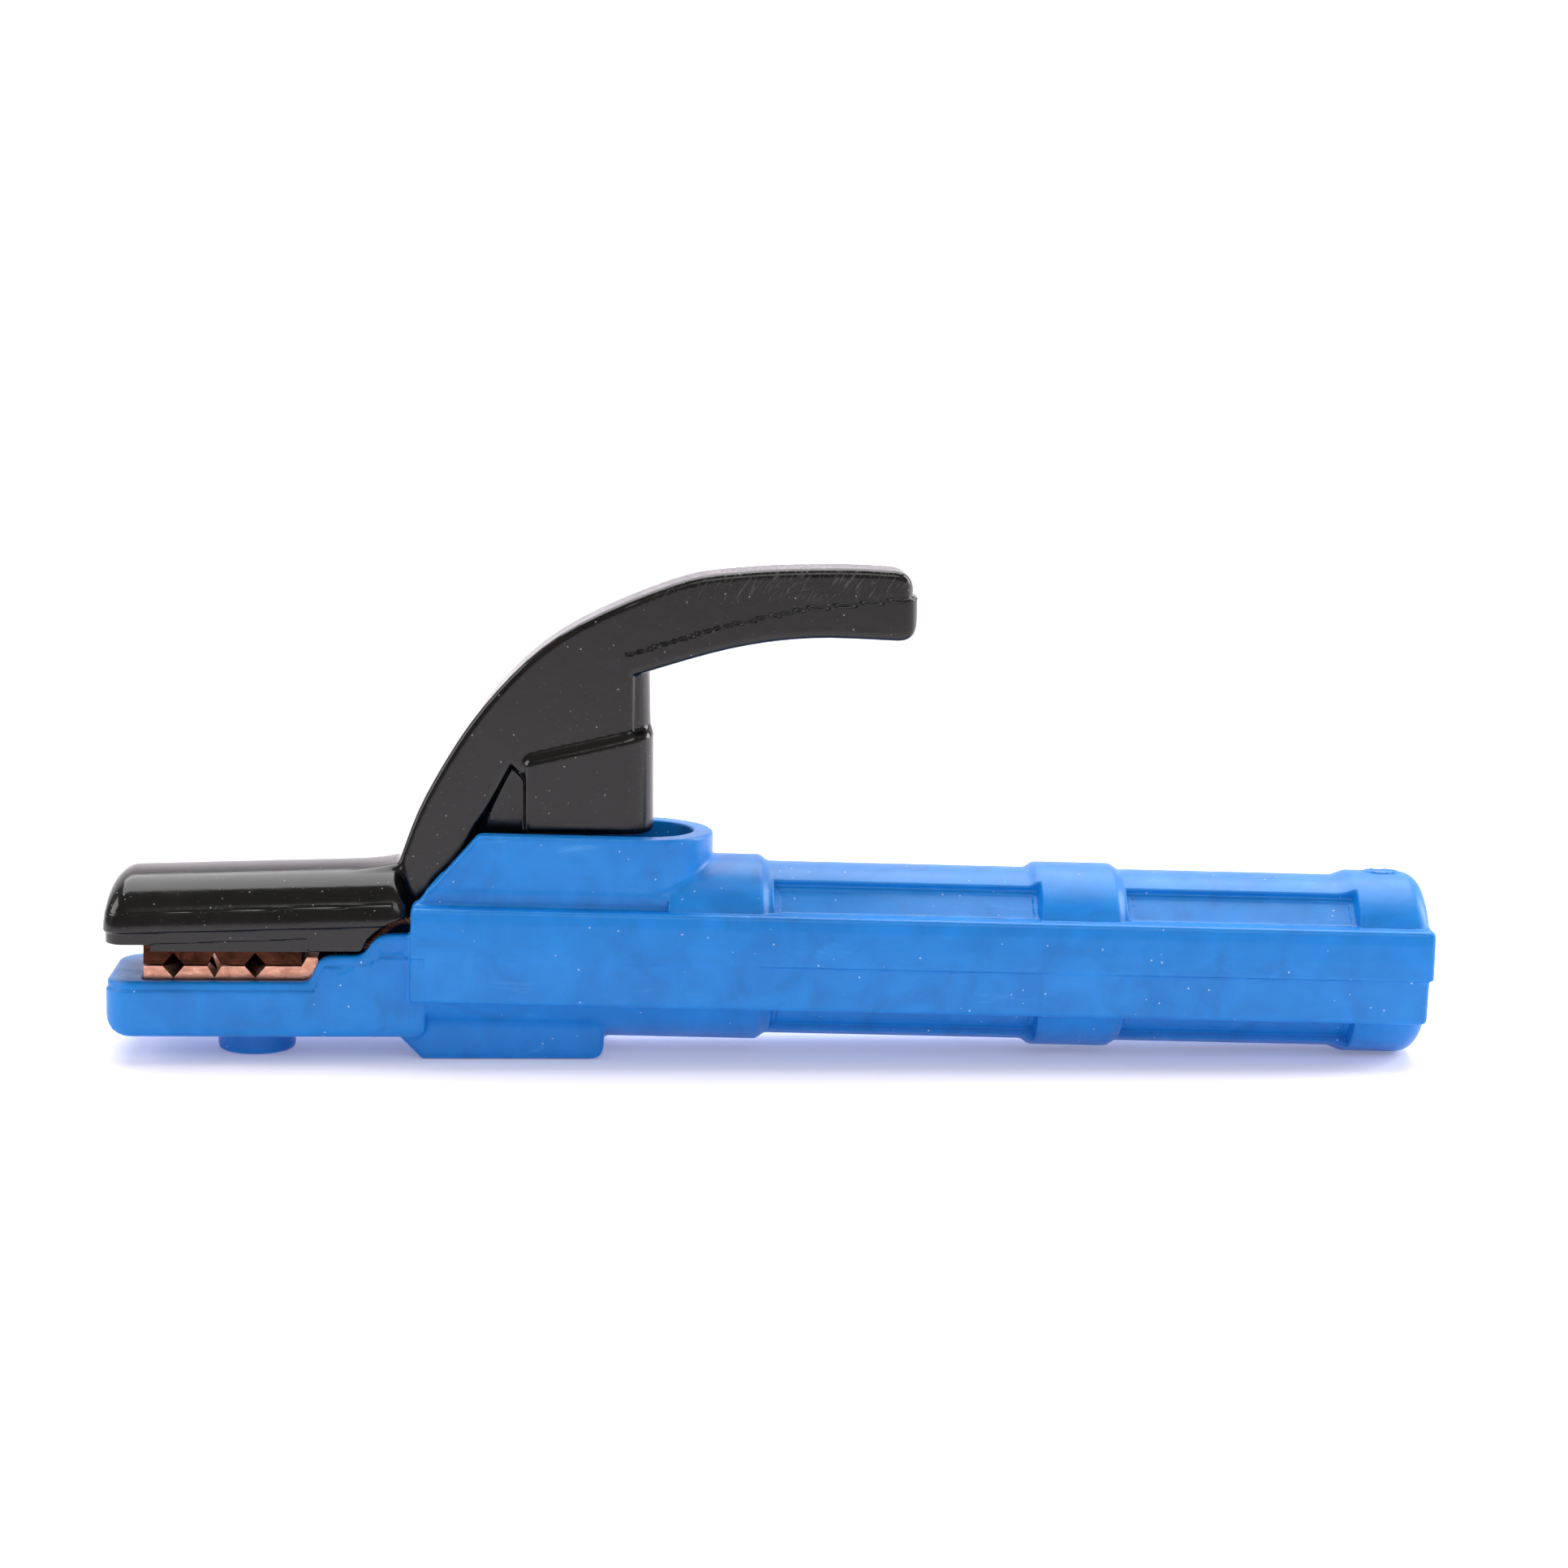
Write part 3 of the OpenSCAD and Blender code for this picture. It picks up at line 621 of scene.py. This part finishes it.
def cover_field(x, y, z):
    rise = z - 26.2 - (x + 73) * math.tan(COVER_TILT)
    narrower, lower = (deep * (1 - np.sqrt(1 - np.clip((-front_x + long - x) / long, 0, 1) ** 2))
                       for long, deep in ((4.2, 4.0), (5.4, 7.0)))
    across = np.abs(y / (COVER_W - narrower)) ** 2.3
    over = np.abs(np.maximum(rise, 0) / (COVER_H - lower)) ** 2.2
    crown = (across + over) ** 0.445 - 1
    body = np.maximum(common(crown * 10, -rise, 0.3), -front_x + 0.03 - x)
    body = common(body, (x + 69.0) * 0.97 + (z - 30.8) * 0.24, 2.2)
    lip = np.maximum(rectangle(x, y, -front_x + 0.35, -40, -COVER_W + 0.5, COVER_W - 0.5, 4.2),
                     outline(x, z, LIP_SIDE))
    inner = np.maximum(np.abs(y) - 12, np.maximum(slab(z, 20.9, 28), slab(x, -116.5, -80)))
    solid = union(union(body, lip, 0.5), inner, 0.5)
    # the cover's rear corner is cut to an arc, with the neck left whole
    return cut(solid, np.maximum(np.maximum(z - along(UNDER_COVER, x), -77 - x), 6.3 - np.abs(y)), 0.4)


def lever_field(x, y, z):
    from_pin = np.hypot(x - pivot[0], z - pivot[2])
    neck = common(np.minimum(outline(x, z, NECK_SIDE), from_pin - 6),
                  np.abs(y) - NECK_W + 0.9 * step(z, 32, 36), 0.5)
    solid = union(arm_field(x, y, z), column_field(x, y, z), 0.25)
    solid = union(solid, spring_box_field(x, y, z), 0.8)
    solid = union(solid, neck, 0.9)
    solid = union(solid, cover_field(x, y, z), 1.6)
    # room for the hinge ears on both sides of the neck, and the bush's bore through it
    solid = cut(solid, np.maximum(from_pin - 7.0, NECK_W - np.abs(y)), 0.3)
    solid = cut(solid, from_pin - 4.5, 0.3)
    # the spring's bore, the upper jaw's pocket, and room for the jaw's tail and the braid's lug
    spring_room = np.maximum(np.hypot(x - SPRING_X, y) - 5.7, z - 57.5)
    pocket = np.maximum(rectangle(x, y, jaw_front - 0.05, jaw_back + 0.05, -jaw_half, jaw_half), z - 24.6)
    tail = np.maximum(np.maximum(np.abs(y) - TAIL_W, slab(x, jaw_back - 1, -77.4)), z - 25.4)
    lug = np.maximum(np.maximum(np.abs(y) - TAIL_W, slab(x, -79, -70)), z - 24.2)
    return cut(solid, np.minimum(np.minimum(spring_room, pocket), np.minimum(tail, lug)), 0.35)


# %% Mesh of the black lever
lever_xs = grid_lines([(-126.4, 0.5), (28.4, 0.5)])
lever_ys = grid_lines([(-14.9, 0.5), (14.9, 0.5)])
lever_zs = grid_lines([(16.0, 0.5), (94.2, 0.5)])
black_lever = moulding("black_lever", lever_field, lever_xs, lever_ys, lever_zs, keep=0.9)

# %% [markdown]
# Finishes
#
# Each material is named for the real one and how its surface was made; the upper jaw's copper also carries
# painted shade and the braid's copper painted light in their colour. Patterns sit on the pieces' own coordinates
# in metres, so a noise scale of 1000 has features about 1 mm across. Every finish has a slow drift of colour, a
# faster one of roughness and a fine bump. The mouldings also have dust and rubbed marks, because dark gloss shows
# both.

# %% Parts that the finishes share
def noise(tree, place, scale, detail=3.0, rough=0.5, distortion=0.0, stretch=None, turn=(0, 0, 0)):
    """Noise from 0 to 1 with features about 1/scale metres across; stretch scales the axes."""
    if stretch:
        place = add(tree, "ShaderNodeMapping", {"Vector": place, "Rotation": turn, "Scale": stretch},
                    vector_type="TEXTURE").outputs["Vector"]
    return add(tree, "ShaderNodeTexNoise", {"Vector": place, "Scale": scale, "Detail": detail,
                                            "Roughness": rough, "Distortion": distortion}).outputs["Fac"]


def remap(tree, value, low, high, to_low=0.0, to_high=1.0):
    """value from low..high to to_low..to_high, clamped."""
    return add(tree, "ShaderNodeMapRange", {"Value": value, "From Min": low, "From Max": high,
                                            "To Min": to_low, "To Max": to_high}).outputs["Result"]


def mix(tree, factor, a, b):
    """Colour a where factor is 0, b where it is 1."""
    made = add(tree, "ShaderNodeMix", data_type="RGBA")
    for key, value in ((0, factor), (6, a), (7, b)):
        if isinstance(value, bpy.types.NodeSocket):
            tree.links.new(value, made.inputs[key])
        else:
            made.inputs[key].default_value = value
    return made.outputs[2]


def times(tree, a, b):
    return add(tree, "ShaderNodeMath", {0: a, 1: b}, operation="MULTIPLY").outputs[0]


def dust(tree, place, per_metre, size, share):
    """1 on scattered specks: per_metre cells to the metre, and a speck of radius size in a share of them."""
    cell = add(tree, "ShaderNodeTexVoronoi", {"Vector": place, "Scale": per_metre})
    speck = remap(tree, cell.outputs["Distance"], size * per_metre, size * per_metre * 0.4)
    picked = add(tree, "ShaderNodeSeparateColor", {"Color": cell.outputs["Color"]}).outputs["Red"]
    return times(tree, speck, remap(tree, picked, 1 - share, 1 - share + 0.01))


def scratches(tree, place, per_metre, width, share, turn):
    """1 on thin straight marks, long along the turned x axis."""
    line = add(tree, "ShaderNodeMapping", {"Vector": place, "Rotation": turn, "Scale": (14.0, 1.0, 1.0)},
               vector_type="TEXTURE").outputs["Vector"]
    return dust(tree, line, per_metre, width, share)


def bump(tree, height, distance_mm, strength=1.0, normal=None):
    inputs = {"Height": height, "Distance": distance_mm * MM, "Strength": strength}
    if normal is not None:
        inputs["Normal"] = normal
    return add(tree, "ShaderNodeBump", inputs).outputs["Normal"]


def surface(tree, **inputs):
    """The principled shader and the output. Input names are written with underscores."""
    shader = add(tree, "ShaderNodeBsdfPrincipled", {key.replace("_", " "): v for key, v in inputs.items()})
    add(tree, "ShaderNodeOutputMaterial", {"Surface": shader.outputs["BSDF"]})


# %% Moulded plastics
def moulded_blue():
    """Blue nylon, moulded: satin, cloudy where the pigment flowed, with dust and rubbed streaks."""
    material, tree = new_material("moulded_blue_nylon")
    place = add(tree, "ShaderNodeTexCoord").outputs["Object"]
    cloud = noise(tree, place, 110.0, 4.0, 0.6, 0.8)
    # clouds between a fuller and a paler blue
    shade = mix(tree, remap(tree, cloud, 0.3, 0.7), linear("#0474C6"), linear("#0884DA"))
    # the pigment left darker swirls in places
    swirl = remap(tree, noise(tree, place, 45.0, 3.0, 0.5, 2.5), 0.56, 0.66, 0.0, 0.35)
    shade = mix(tree, swirl, shade, linear("#0566B2"))
    # handling left pale, dry streaks along the handle
    streak = remap(tree, noise(tree, place, 260.0, 5.0, 0.7, 0.4, (5.0, 1.0, 1.0)), 0.62, 0.78, 0.0, 0.5)
    shade = mix(tree, streak, shade, linear("#55A8E8"))
    speck = dust(tree, place, 420.0, 0.0002, 0.5)
    mark = scratches(tree, place, 200.0, 0.00012, 0.10, (0.2, 0.5, 0.1))
    shade = mix(tree, speck, shade, linear("#C9DCEB"))
    shade = mix(tree, times(tree, mark, 0.4), shade, linear("#7FB8E6"))
    rough = remap(tree, noise(tree, place, 190.0, 4.0, 0.6), 0.3, 0.7, 0.3, 0.42)
    skin = bump(tree, noise(tree, place, 420.0, 3.0, 0.5), 0.06, 0.7)
    surface(tree, Base_Color=shade, Roughness=rough, IOR=1.43, Normal=skin)
    return material


def moulded_black():
    """Black thermoset, compression moulded in a polished tool: glossy, with dust and rubbed marks."""
    material, tree = new_material("moulded_black_thermoset")
    place = add(tree, "ShaderNodeTexCoord").outputs["Object"]
    smear = remap(tree, noise(tree, place, 70.0, 4.0, 0.6, 1.2), 0.35, 0.75)
    shade = mix(tree, smear, linear("#040404"), linear("#0E0C0B"))
    speck = dust(tree, place, 450.0, 0.0002, 0.8)
    fine = dust(tree, place, 1000.0, 0.00012, 0.5)
    shade = mix(tree, speck, shade, linear("#8C8A88"))
    shade = mix(tree, times(tree, fine, 0.6), shade, linear("#6E6C6A"))
    # short diagonal rubs on the upper half of the grip
    x, _, z = (add(tree, "ShaderNodeSeparateXYZ", {"Vector": place}).outputs[i] for i in range(3))
    on_grip = times(tree, remap(tree, x, -0.03, -0.01), remap(tree, z, 0.0865, 0.0885))
    rubbed = times(tree, on_grip, remap(tree, noise(
        tree, place, 1800.0, 4.0, 0.6, 0.2, (1.0, 1.0, 5.0), (0, math.radians(35), 0)), 0.52, 0.7))
    shade = mix(tree, times(tree, rubbed, 0.13), shade, linear("#A09C98"))
    rough = add(tree, "ShaderNodeMath", {0: remap(tree, smear, 0.0, 1.0, 0.12, 0.22),
                                         1: times(tree, rubbed, 0.25)}, operation="ADD").outputs[0]
    skin = bump(tree, noise(tree, place, 300.0, 3.0, 0.5), 0.05, 0.6)
    skin = bump(tree, rubbed, 0.05, 0.5, skin)
    surface(tree, Base_Color=shade, Roughness=rough, IOR=1.47, Normal=skin)
    return material


# %% Metals
def worked_metal(name, light, dark, rough, streak=(1.0, 1.0, 6.0), tarnish=0.5, grain_mm=0.03, bright=1.0):
    """Metal with drawn or filed streaks along the unstretched axes, and darker tarnished patches."""
    material, tree = new_material(name)
    place = add(tree, "ShaderNodeTexCoord").outputs["Object"]
    patch = remap(tree, noise(tree, place, 240.0, 5.0, 0.65, 0.8), 0.42, 0.66, 0.0, tarnish)
    lines = noise(tree, place, 1500.0, 3.0, 0.6, 0.0, streak)
    shade = mix(tree, patch, linear(light), linear(dark))
    shade = mix(tree, remap(tree, lines, 0.35, 0.7, 0.0, 0.35), shade, linear(dark))
    spread = add(tree, "ShaderNodeMath", {0: remap(tree, lines, 0.3, 0.7, rough * 0.75, rough * 1.2),
                                          1: times(tree, patch, 0.15)}, operation="ADD").outputs[0]
    surface(tree, Base_Color=shade, Metallic=bright, Roughness=spread,
            Normal=bump(tree, lines, grain_mm, 0.8))
    return material


def pressed_fibre():
    """Red vulcanised fibre, punched from sheet."""
    material, tree = new_material("punched_red_fibre")
    place = add(tree, "ShaderNodeTexCoord").outputs["Object"]
    strand = noise(tree, place, 900.0, 4.0, 0.6, 0.3, (4.0, 4.0, 1.0))
    surface(tree, Base_Color=mix(tree, strand, linear("#5A1D12"), linear("#83301F")), Roughness=0.6, IOR=1.5,
            Normal=bump(tree, strand, 0.03))
    return material


blue = moulded_blue()
black = moulded_black()
copper = worked_metal("filed_copper", "#DCA58E", "#96604A", 0.3, (6.0, 6.0, 1.0), 0.6, 0.05)
# a darker copy of the copper: painted shade for the upper jaw and upper lug, which sit in shade under the cover
copper_painted_shade = worked_metal("copper_with_painted_shade", "#4A2A1E", "#20120D", 0.34, (6.0, 6.0, 1.0), 0.8, 0.05)
# copper wire, coloured paler than the jaws' copper: its own copper tone plus painted light, since the braid sits
# in the cover's shade
braid_copper_painted_light = worked_metal("drawn_copper_wire_painted_light", "#FFC4A6", "#B87658", 0.5, (6.0, 1.0, 1.0), 0.5, 0.01,
                          0.6)
brass = worked_metal("turned_brass", "#C9A45C", "#7E622F", 0.28, (1.0, 6.0, 6.0), 0.3, 0.02)
zinc = worked_metal("zinc_plated_steel", "#B9BBC0", "#777A80", 0.32, (1.0, 1.0, 1.0), 0.3, 0.02)
black_steel = worked_metal("blackened_spring_steel", "#5A5B60", "#2A2B2E", 0.36, (1.0, 1.0, 1.0), 0.4, 0.02)
spring_steel = worked_metal("drawn_spring_steel", "#A9ABB0", "#63656A", 0.28, (1.0, 1.0, 5.0), 0.3, 0.01)
fibre = pressed_fibre()

# %% Finish the pieces that the CAD model already draws as they are
# the upper jaw and upper lug get the copper with painted shade
NODE_FINISH = {
    "lower_jaw": copper, "upper_jaw": copper_painted_shade, "shunt_lower_lug": copper, "shunt_upper_lug": copper_painted_shade,
    "cable_socket": brass, "pivot_bush": brass, "pivot_washers": brass,
    "cable_set_screws": black_steel, "jaw_lock_washer": black_steel, "pivot_circlip": black_steel,
    "jaw_screw": zinc, "jaw_screw_washer": zinc, "pivot_pin": zinc, "shunt_lower_screw": zinc,
    "shunt_upper_screw": zinc, "spring_cap": zinc, "spring_seat": fibre}
for node_name, finish in NODE_FINISH.items():
    slots = frame["nodes"][node_name].data.materials
    for index in range(len(slots)):
        slots[index] = finish
print("finished", len(NODE_FINISH), "CAD pieces")

# %% [markdown]
# Spring, braid and flash
#
# These repeat or follow a path, so each is a Geometry Nodes tree with its sizes as inputs. The spring is
# coiled wire, its ends wound closer; the braid is drawn copper wire woven into a flat tube, so each strand
# runs round the tube while it follows the route; the flash is the thin skin of plastic that creeps into the
# gap between two mould halves, so its height wanders.

# %% Geometry Nodes helpers
def node_tree(name, **sizes):
    """A geometry tree with a mesh input, named number inputs, a material input, and one output."""
    tree = bpy.data.node_groups.new(name, "GeometryNodeTree")
    tree.interface.new_socket("Geometry", in_out="INPUT", socket_type="NodeSocketGeometry")
    for key, value in sizes.items():
        kind = "NodeSocketInt" if isinstance(value, int) else "NodeSocketFloat"
        tree.interface.new_socket(key, in_out="INPUT", socket_type=kind)
    tree.interface.new_socket("Material", in_out="INPUT", socket_type="NodeSocketMaterial")
    tree.interface.new_socket("Geometry", in_out="OUTPUT", socket_type="NodeSocketGeometry")
    return tree, add(tree, "NodeGroupInput").outputs


def close_tree(tree, geometry, source):
    """Ends the tree: real geometry, smooth, with its material."""
    real = add(tree, "GeometryNodeRealizeInstances", {"Geometry": geometry})
    smooth = add(tree, "GeometryNodeSetShadeSmooth", {"Geometry": real.outputs[0]})
    painted = add(tree, "GeometryNodeSetMaterial",
                  {"Geometry": smooth.outputs[0], "Material": source["Material"]})
    add(tree, "NodeGroupOutput", {"Geometry": painted.outputs[0]})


def grow(name, tree, points_mm, material, **sizes):
    """Runs the tree on a polyline through the points, and keeps the result as a plain mesh."""
    line = bpy.data.meshes.new(name)
    line.from_pydata([Vector(p) * MM for p in points_mm], [(i, i + 1) for i in range(len(points_mm) - 1)], [])
    obj = bpy.data.objects.new(name, line)
    bpy.context.scene.collection.objects.link(obj)
    modifier = obj.modifiers.new(name, "NODES")
    modifier.node_group = tree
    for item in tree.interface.items_tree:
        if item.in_out == "INPUT" and item.name in sizes:
            modifier[item.identifier] = sizes[item.name]
        elif item.in_out == "INPUT" and item.name == "Material":
            modifier[item.identifier] = material
    mesh = bpy.data.meshes.new_from_object(obj.evaluated_get(bpy.context.evaluated_depsgraph_get()))
    obj.modifiers.clear()
    obj.data = mesh
    print(f"{name}: {triangles(mesh)} triangles")
    return obj


def maths(tree, operation, *values):
    return add(tree, "ShaderNodeMath", dict(enumerate(values)), operation=operation).outputs[0]


def vector_maths(tree, operation, *values):
    return add(tree, "ShaderNodeVectorMath", dict(enumerate(values)), operation=operation).outputs[0]


def tube(tree, curve, radius, sides):
    """A closed round tube along a curve."""
    ring = add(tree, "GeometryNodeCurvePrimitiveCircle", {"Resolution": sides, "Radius": radius})
    return add(tree, "GeometryNodeCurveToMesh", {"Curve": curve, "Profile Curve": ring.outputs[0],
                                                 "Fill Caps": True}).outputs[0]


# %% The lever's spring
def spring_tree():
    tree, source = node_tree("coil_spring", Turns=11.0, Radius=0.004, Wire=0.0007, Length=0.04)
    line = add(tree, "GeometryNodeCurveSpiral", {"Resolution": 40, "Rotations": source["Turns"],
                                                 "Start Radius": source["Radius"],
                                                 "End Radius": source["Radius"], "Height": source["Length"]})
    place = add(tree, "GeometryNodeInputPosition").outputs[0]
    xyz = add(tree, "ShaderNodeSeparateXYZ", {0: place}).outputs
    # the pitch closes up towards both ends
    part = maths(tree, "MULTIPLY", maths(tree, "DIVIDE", xyz[2], source["Length"]), 2 * math.pi)
    wave = maths(tree, "MULTIPLY", maths(tree, "SINE", part), -0.085)
    shift = maths(tree, "MULTIPLY", wave, source["Length"])
    shaped = add(tree, "GeometryNodeSetPosition", {
        "Geometry": line.outputs[0], "Offset": add(tree, "ShaderNodeCombineXYZ", {2: shift}).outputs[0]})
    # moved to the foot of the line that it is grown on
    foot = add(tree, "GeometryNodeSampleIndex", {"Geometry": source["Geometry"], "Value": place, "Index": 0},
               data_type="FLOAT_VECTOR").outputs["Value"]
    moved = add(tree, "GeometryNodeTransform", {"Geometry": shaped.outputs[0], "Translation": foot})
    close_tree(tree, tube(tree, moved.outputs[0], source["Wire"], 10), source)
    return tree


SPRING_FOOT, SPRING_TOP, WIRE_R, COIL_R = 17.25, 56.25, 0.72, 4.24
spring_line = [(SPRING_X, 0, SPRING_FOOT + WIRE_R), (SPRING_X, 0, SPRING_TOP - WIRE_R)]
spring = grow("lever_spring_coil", spring_tree(), spring_line, spring_steel, Turns=11.0, Radius=COIL_R * MM,
              Wire=WIRE_R * MM, Length=(SPRING_TOP - SPRING_FOOT - 2 * WIRE_R) * MM)


# %% The shunt's braid
def braid_tree():
    tree, source = node_tree("woven_braid", Strands=20, Steps=70, Width=0.014, Thickness=0.0016, Twist=1.6,
                             Wire=0.0002)
    route = add(tree, "GeometryNodeMeshToCurve", {"Mesh": source["Geometry"]}).outputs[0]
    total = maths(tree, "MULTIPLY", maths(tree, "MULTIPLY", source["Strands"], source["Steps"]), 2)
    dots = add(tree, "GeometryNodePoints", {"Count": total}).outputs[0]
    index = add(tree, "GeometryNodeInputIndex").outputs[0]
    strand = maths(tree, "FLOOR", maths(tree, "DIVIDE", index, source["Steps"]))
    along = maths(tree, "DIVIDE", maths(tree, "MODULO", index, source["Steps"]),
                  maths(tree, "SUBTRACT", source["Steps"], 1))
    # the first half of the strands turn one way round the flat tube, the others the other way
    first_half = maths(tree, "LESS_THAN", strand, source["Strands"])
    way = maths(tree, "SUBTRACT", maths(tree, "MULTIPLY", first_half, 2), 1)
    turn = maths(tree, "MULTIPLY", maths(tree, "ADD", maths(tree, "DIVIDE", strand, source["Strands"]),
                 maths(tree, "MULTIPLY", maths(tree, "MULTIPLY", way, along), source["Twist"])), 2 * math.pi)
    at = add(tree, "GeometryNodeSampleCurve", {"Curves": route, "Factor": along}, mode="FACTOR",
             use_all_curves=True).outputs
    across = (0.0, 1.0, 0.0)
    out = vector_maths(tree, "NORMALIZE", vector_maths(tree, "CROSS_PRODUCT", at["Tangent"], across))
    # a triangle wave spreads the strands evenly over the width
    side = maths(tree, "MULTIPLY", maths(tree, "ARCSINE", maths(tree, "MULTIPLY", maths(tree, "COSINE", turn),
                 0.995)), 2 / math.pi * 0.47)
    side = maths(tree, "MULTIPLY", side, source["Width"])
    weave = maths(tree, "MULTIPLY", maths(tree, "SINE", maths(tree, "MULTIPLY", turn,
                  maths(tree, "DIVIDE", source["Strands"], 2))), 0.12)
    face = maths(tree, "ADD", maths(tree, "MULTIPLY", maths(tree, "TANGENT", maths(tree, "MULTIPLY",
                 maths(tree, "SINE", turn), 0.9)), 0.2), maths(tree, "MULTIPLY", weave, way))
    face = maths(tree, "MULTIPLY", face, source["Thickness"])
    spot = vector_maths(tree, "ADD", at["Position"], add(tree, "ShaderNodeCombineXYZ", {1: side}).outputs[0])
    lift = add(tree, "ShaderNodeVectorMath", {0: out, "Scale": face}, operation="SCALE").outputs[0]
    spot = vector_maths(tree, "ADD", spot, lift)
    placed = add(tree, "GeometryNodeSetPosition", {"Geometry": dots, "Position": spot}).outputs[0]
    curves = add(tree, "GeometryNodePointsToCurves", {"Points": placed, "Curve Group ID": strand,
                                                      "Weight": index}).outputs[0]
    close_tree(tree, tube(tree, curves, source["Wire"], 6), source)
    return tree


BRAID_ROUTE = smooth_points([(-65.9, 16.9), (-63.9, 18.5), (-63.8, 21.5), (-65.4, 24.6), (-68.6, 25.9),
                             (-71.8, 25.1), (-74.6, 22.8), (-77.1, 20.4)], 6)
# the braid's copper carries painted light in its colour
braid = grow("shunt_braid_woven", braid_tree(), [(x, 0, z) for x, z in BRAID_ROUTE], braid_copper_painted_light,
             Strands=26, Steps=90, Width=14.8 * MM, Thickness=3.0 * MM, Twist=1.1, Wire=0.27 * MM)


# %% Mould flash
def flash_tree():
    tree, source = node_tree("mould_flash", Height=0.0001, Wander=0.0001, Seed=1)
    line = add(tree, "GeometryNodeMeshToCurve", {"Mesh": source["Geometry"]}).outputs[0]
    fine = add(tree, "GeometryNodeResampleCurve", {"Curve": line, "Length": 0.0007}, mode="LENGTH").outputs[0]
    drift = add(tree, "ShaderNodeTexNoise", {"Scale": 160.0, "Detail": 4.0, "Roughness": 0.7,
                                             "W": source["Seed"]}, noise_dimensions="4D").outputs["Fac"]
    centred = maths(tree, "SUBTRACT", drift, 0.5)
    wander = maths(tree, "MULTIPLY", centred, source["Wander"])
    shift = add(tree, "ShaderNodeCombineXYZ", {2: wander}).outputs[0]
    moved = add(tree, "GeometryNodeSetPosition", {"Geometry": fine, "Offset": shift}).outputs[0]
    size = add(tree, "ShaderNodeMapRange", {"Value": drift, "From Min": 0.3, "From Max": 0.7, "To Min": 0.35,
                                            "To Max": 1.0}).outputs["Result"]
    sized = add(tree, "GeometryNodeSetCurveRadius", {"Curve": moved, "Radius": size}).outputs[0]
    ring = add(tree, "GeometryNodeCurvePrimitiveCircle", {"Resolution": 6, "Radius": source["Height"]})
    skin = add(tree, "GeometryNodeCurveToMesh", {"Curve": sized, "Profile Curve": ring.outputs[0],
                                                 "Scale": size, "Fill Caps": True}).outputs[0]
    close_tree(tree, skin, source)
    return tree


flash = flash_tree()


def handle_point(xl, y, zl):
    """A point given in the handle's frame."""
    return (xl * math.cos(tilt) + zl * math.sin(tilt), y, axis_z - xl * math.sin(tilt) + zl * math.cos(tilt))


def line_at(line, y, start, end, count):
    """Points along a parting line at y, from x start to x end."""
    return [(x, y, float(along(line, x))) for x in np.linspace(start, end, count)]


# name, points, finish, body, slot, height and wander in mm; 0 in a name is the near side, 2 the far side
flashes = []
for side in (-1, 1):
    rail_line = [handle_point(x, side * 17.66, -0.5) for x in np.linspace(RAIL_X + 0.6, rear_x - 1.4, 60)]
    tray_line = line_at(TRAY_PARTING, side * (TRAY_W - 0.28), -119.4, -67.9, 40)
    grip_line = line_at(GRIP_PARTING, side * (ARM_W - 0.02), -25.5, 25.4, 50)
    flashes += [(f"rail_flash_{side + 1}", rail_line, blue, BODY, "blue_moulding", 0.13, 0.5),
                (f"tray_flash_{side + 1}", tray_line, blue, BODY, "blue_moulding", 0.16, 0.5),
                (f"grip_flash_{side + 1}", grip_line, black, LEVER, "black_moulding", 0.2, 0.1)]

# %% Put the mouldings and flash lines on their bodies, and hide the CAD pieces that these, the spring and the braid replace
for piece, body, node_name, slot, material in (
        (blue_body, BODY, "insulating_body", "blue_moulding", blue),
        (black_lever, LEVER, "lever", "black_moulding", black)):
    piece.data.materials.append(material)
    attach(piece, body)
    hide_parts(node_name)
for number, (name, line, material, body, slot, height, wander) in enumerate(flashes):
    piece = grow(name, flash, line, material, Height=height * MM, Wander=wander * MM, Seed=number + 1)
    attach(piece, body)
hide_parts("lever_spring")
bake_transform(spring)
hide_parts("shunt_braid")
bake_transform(braid)
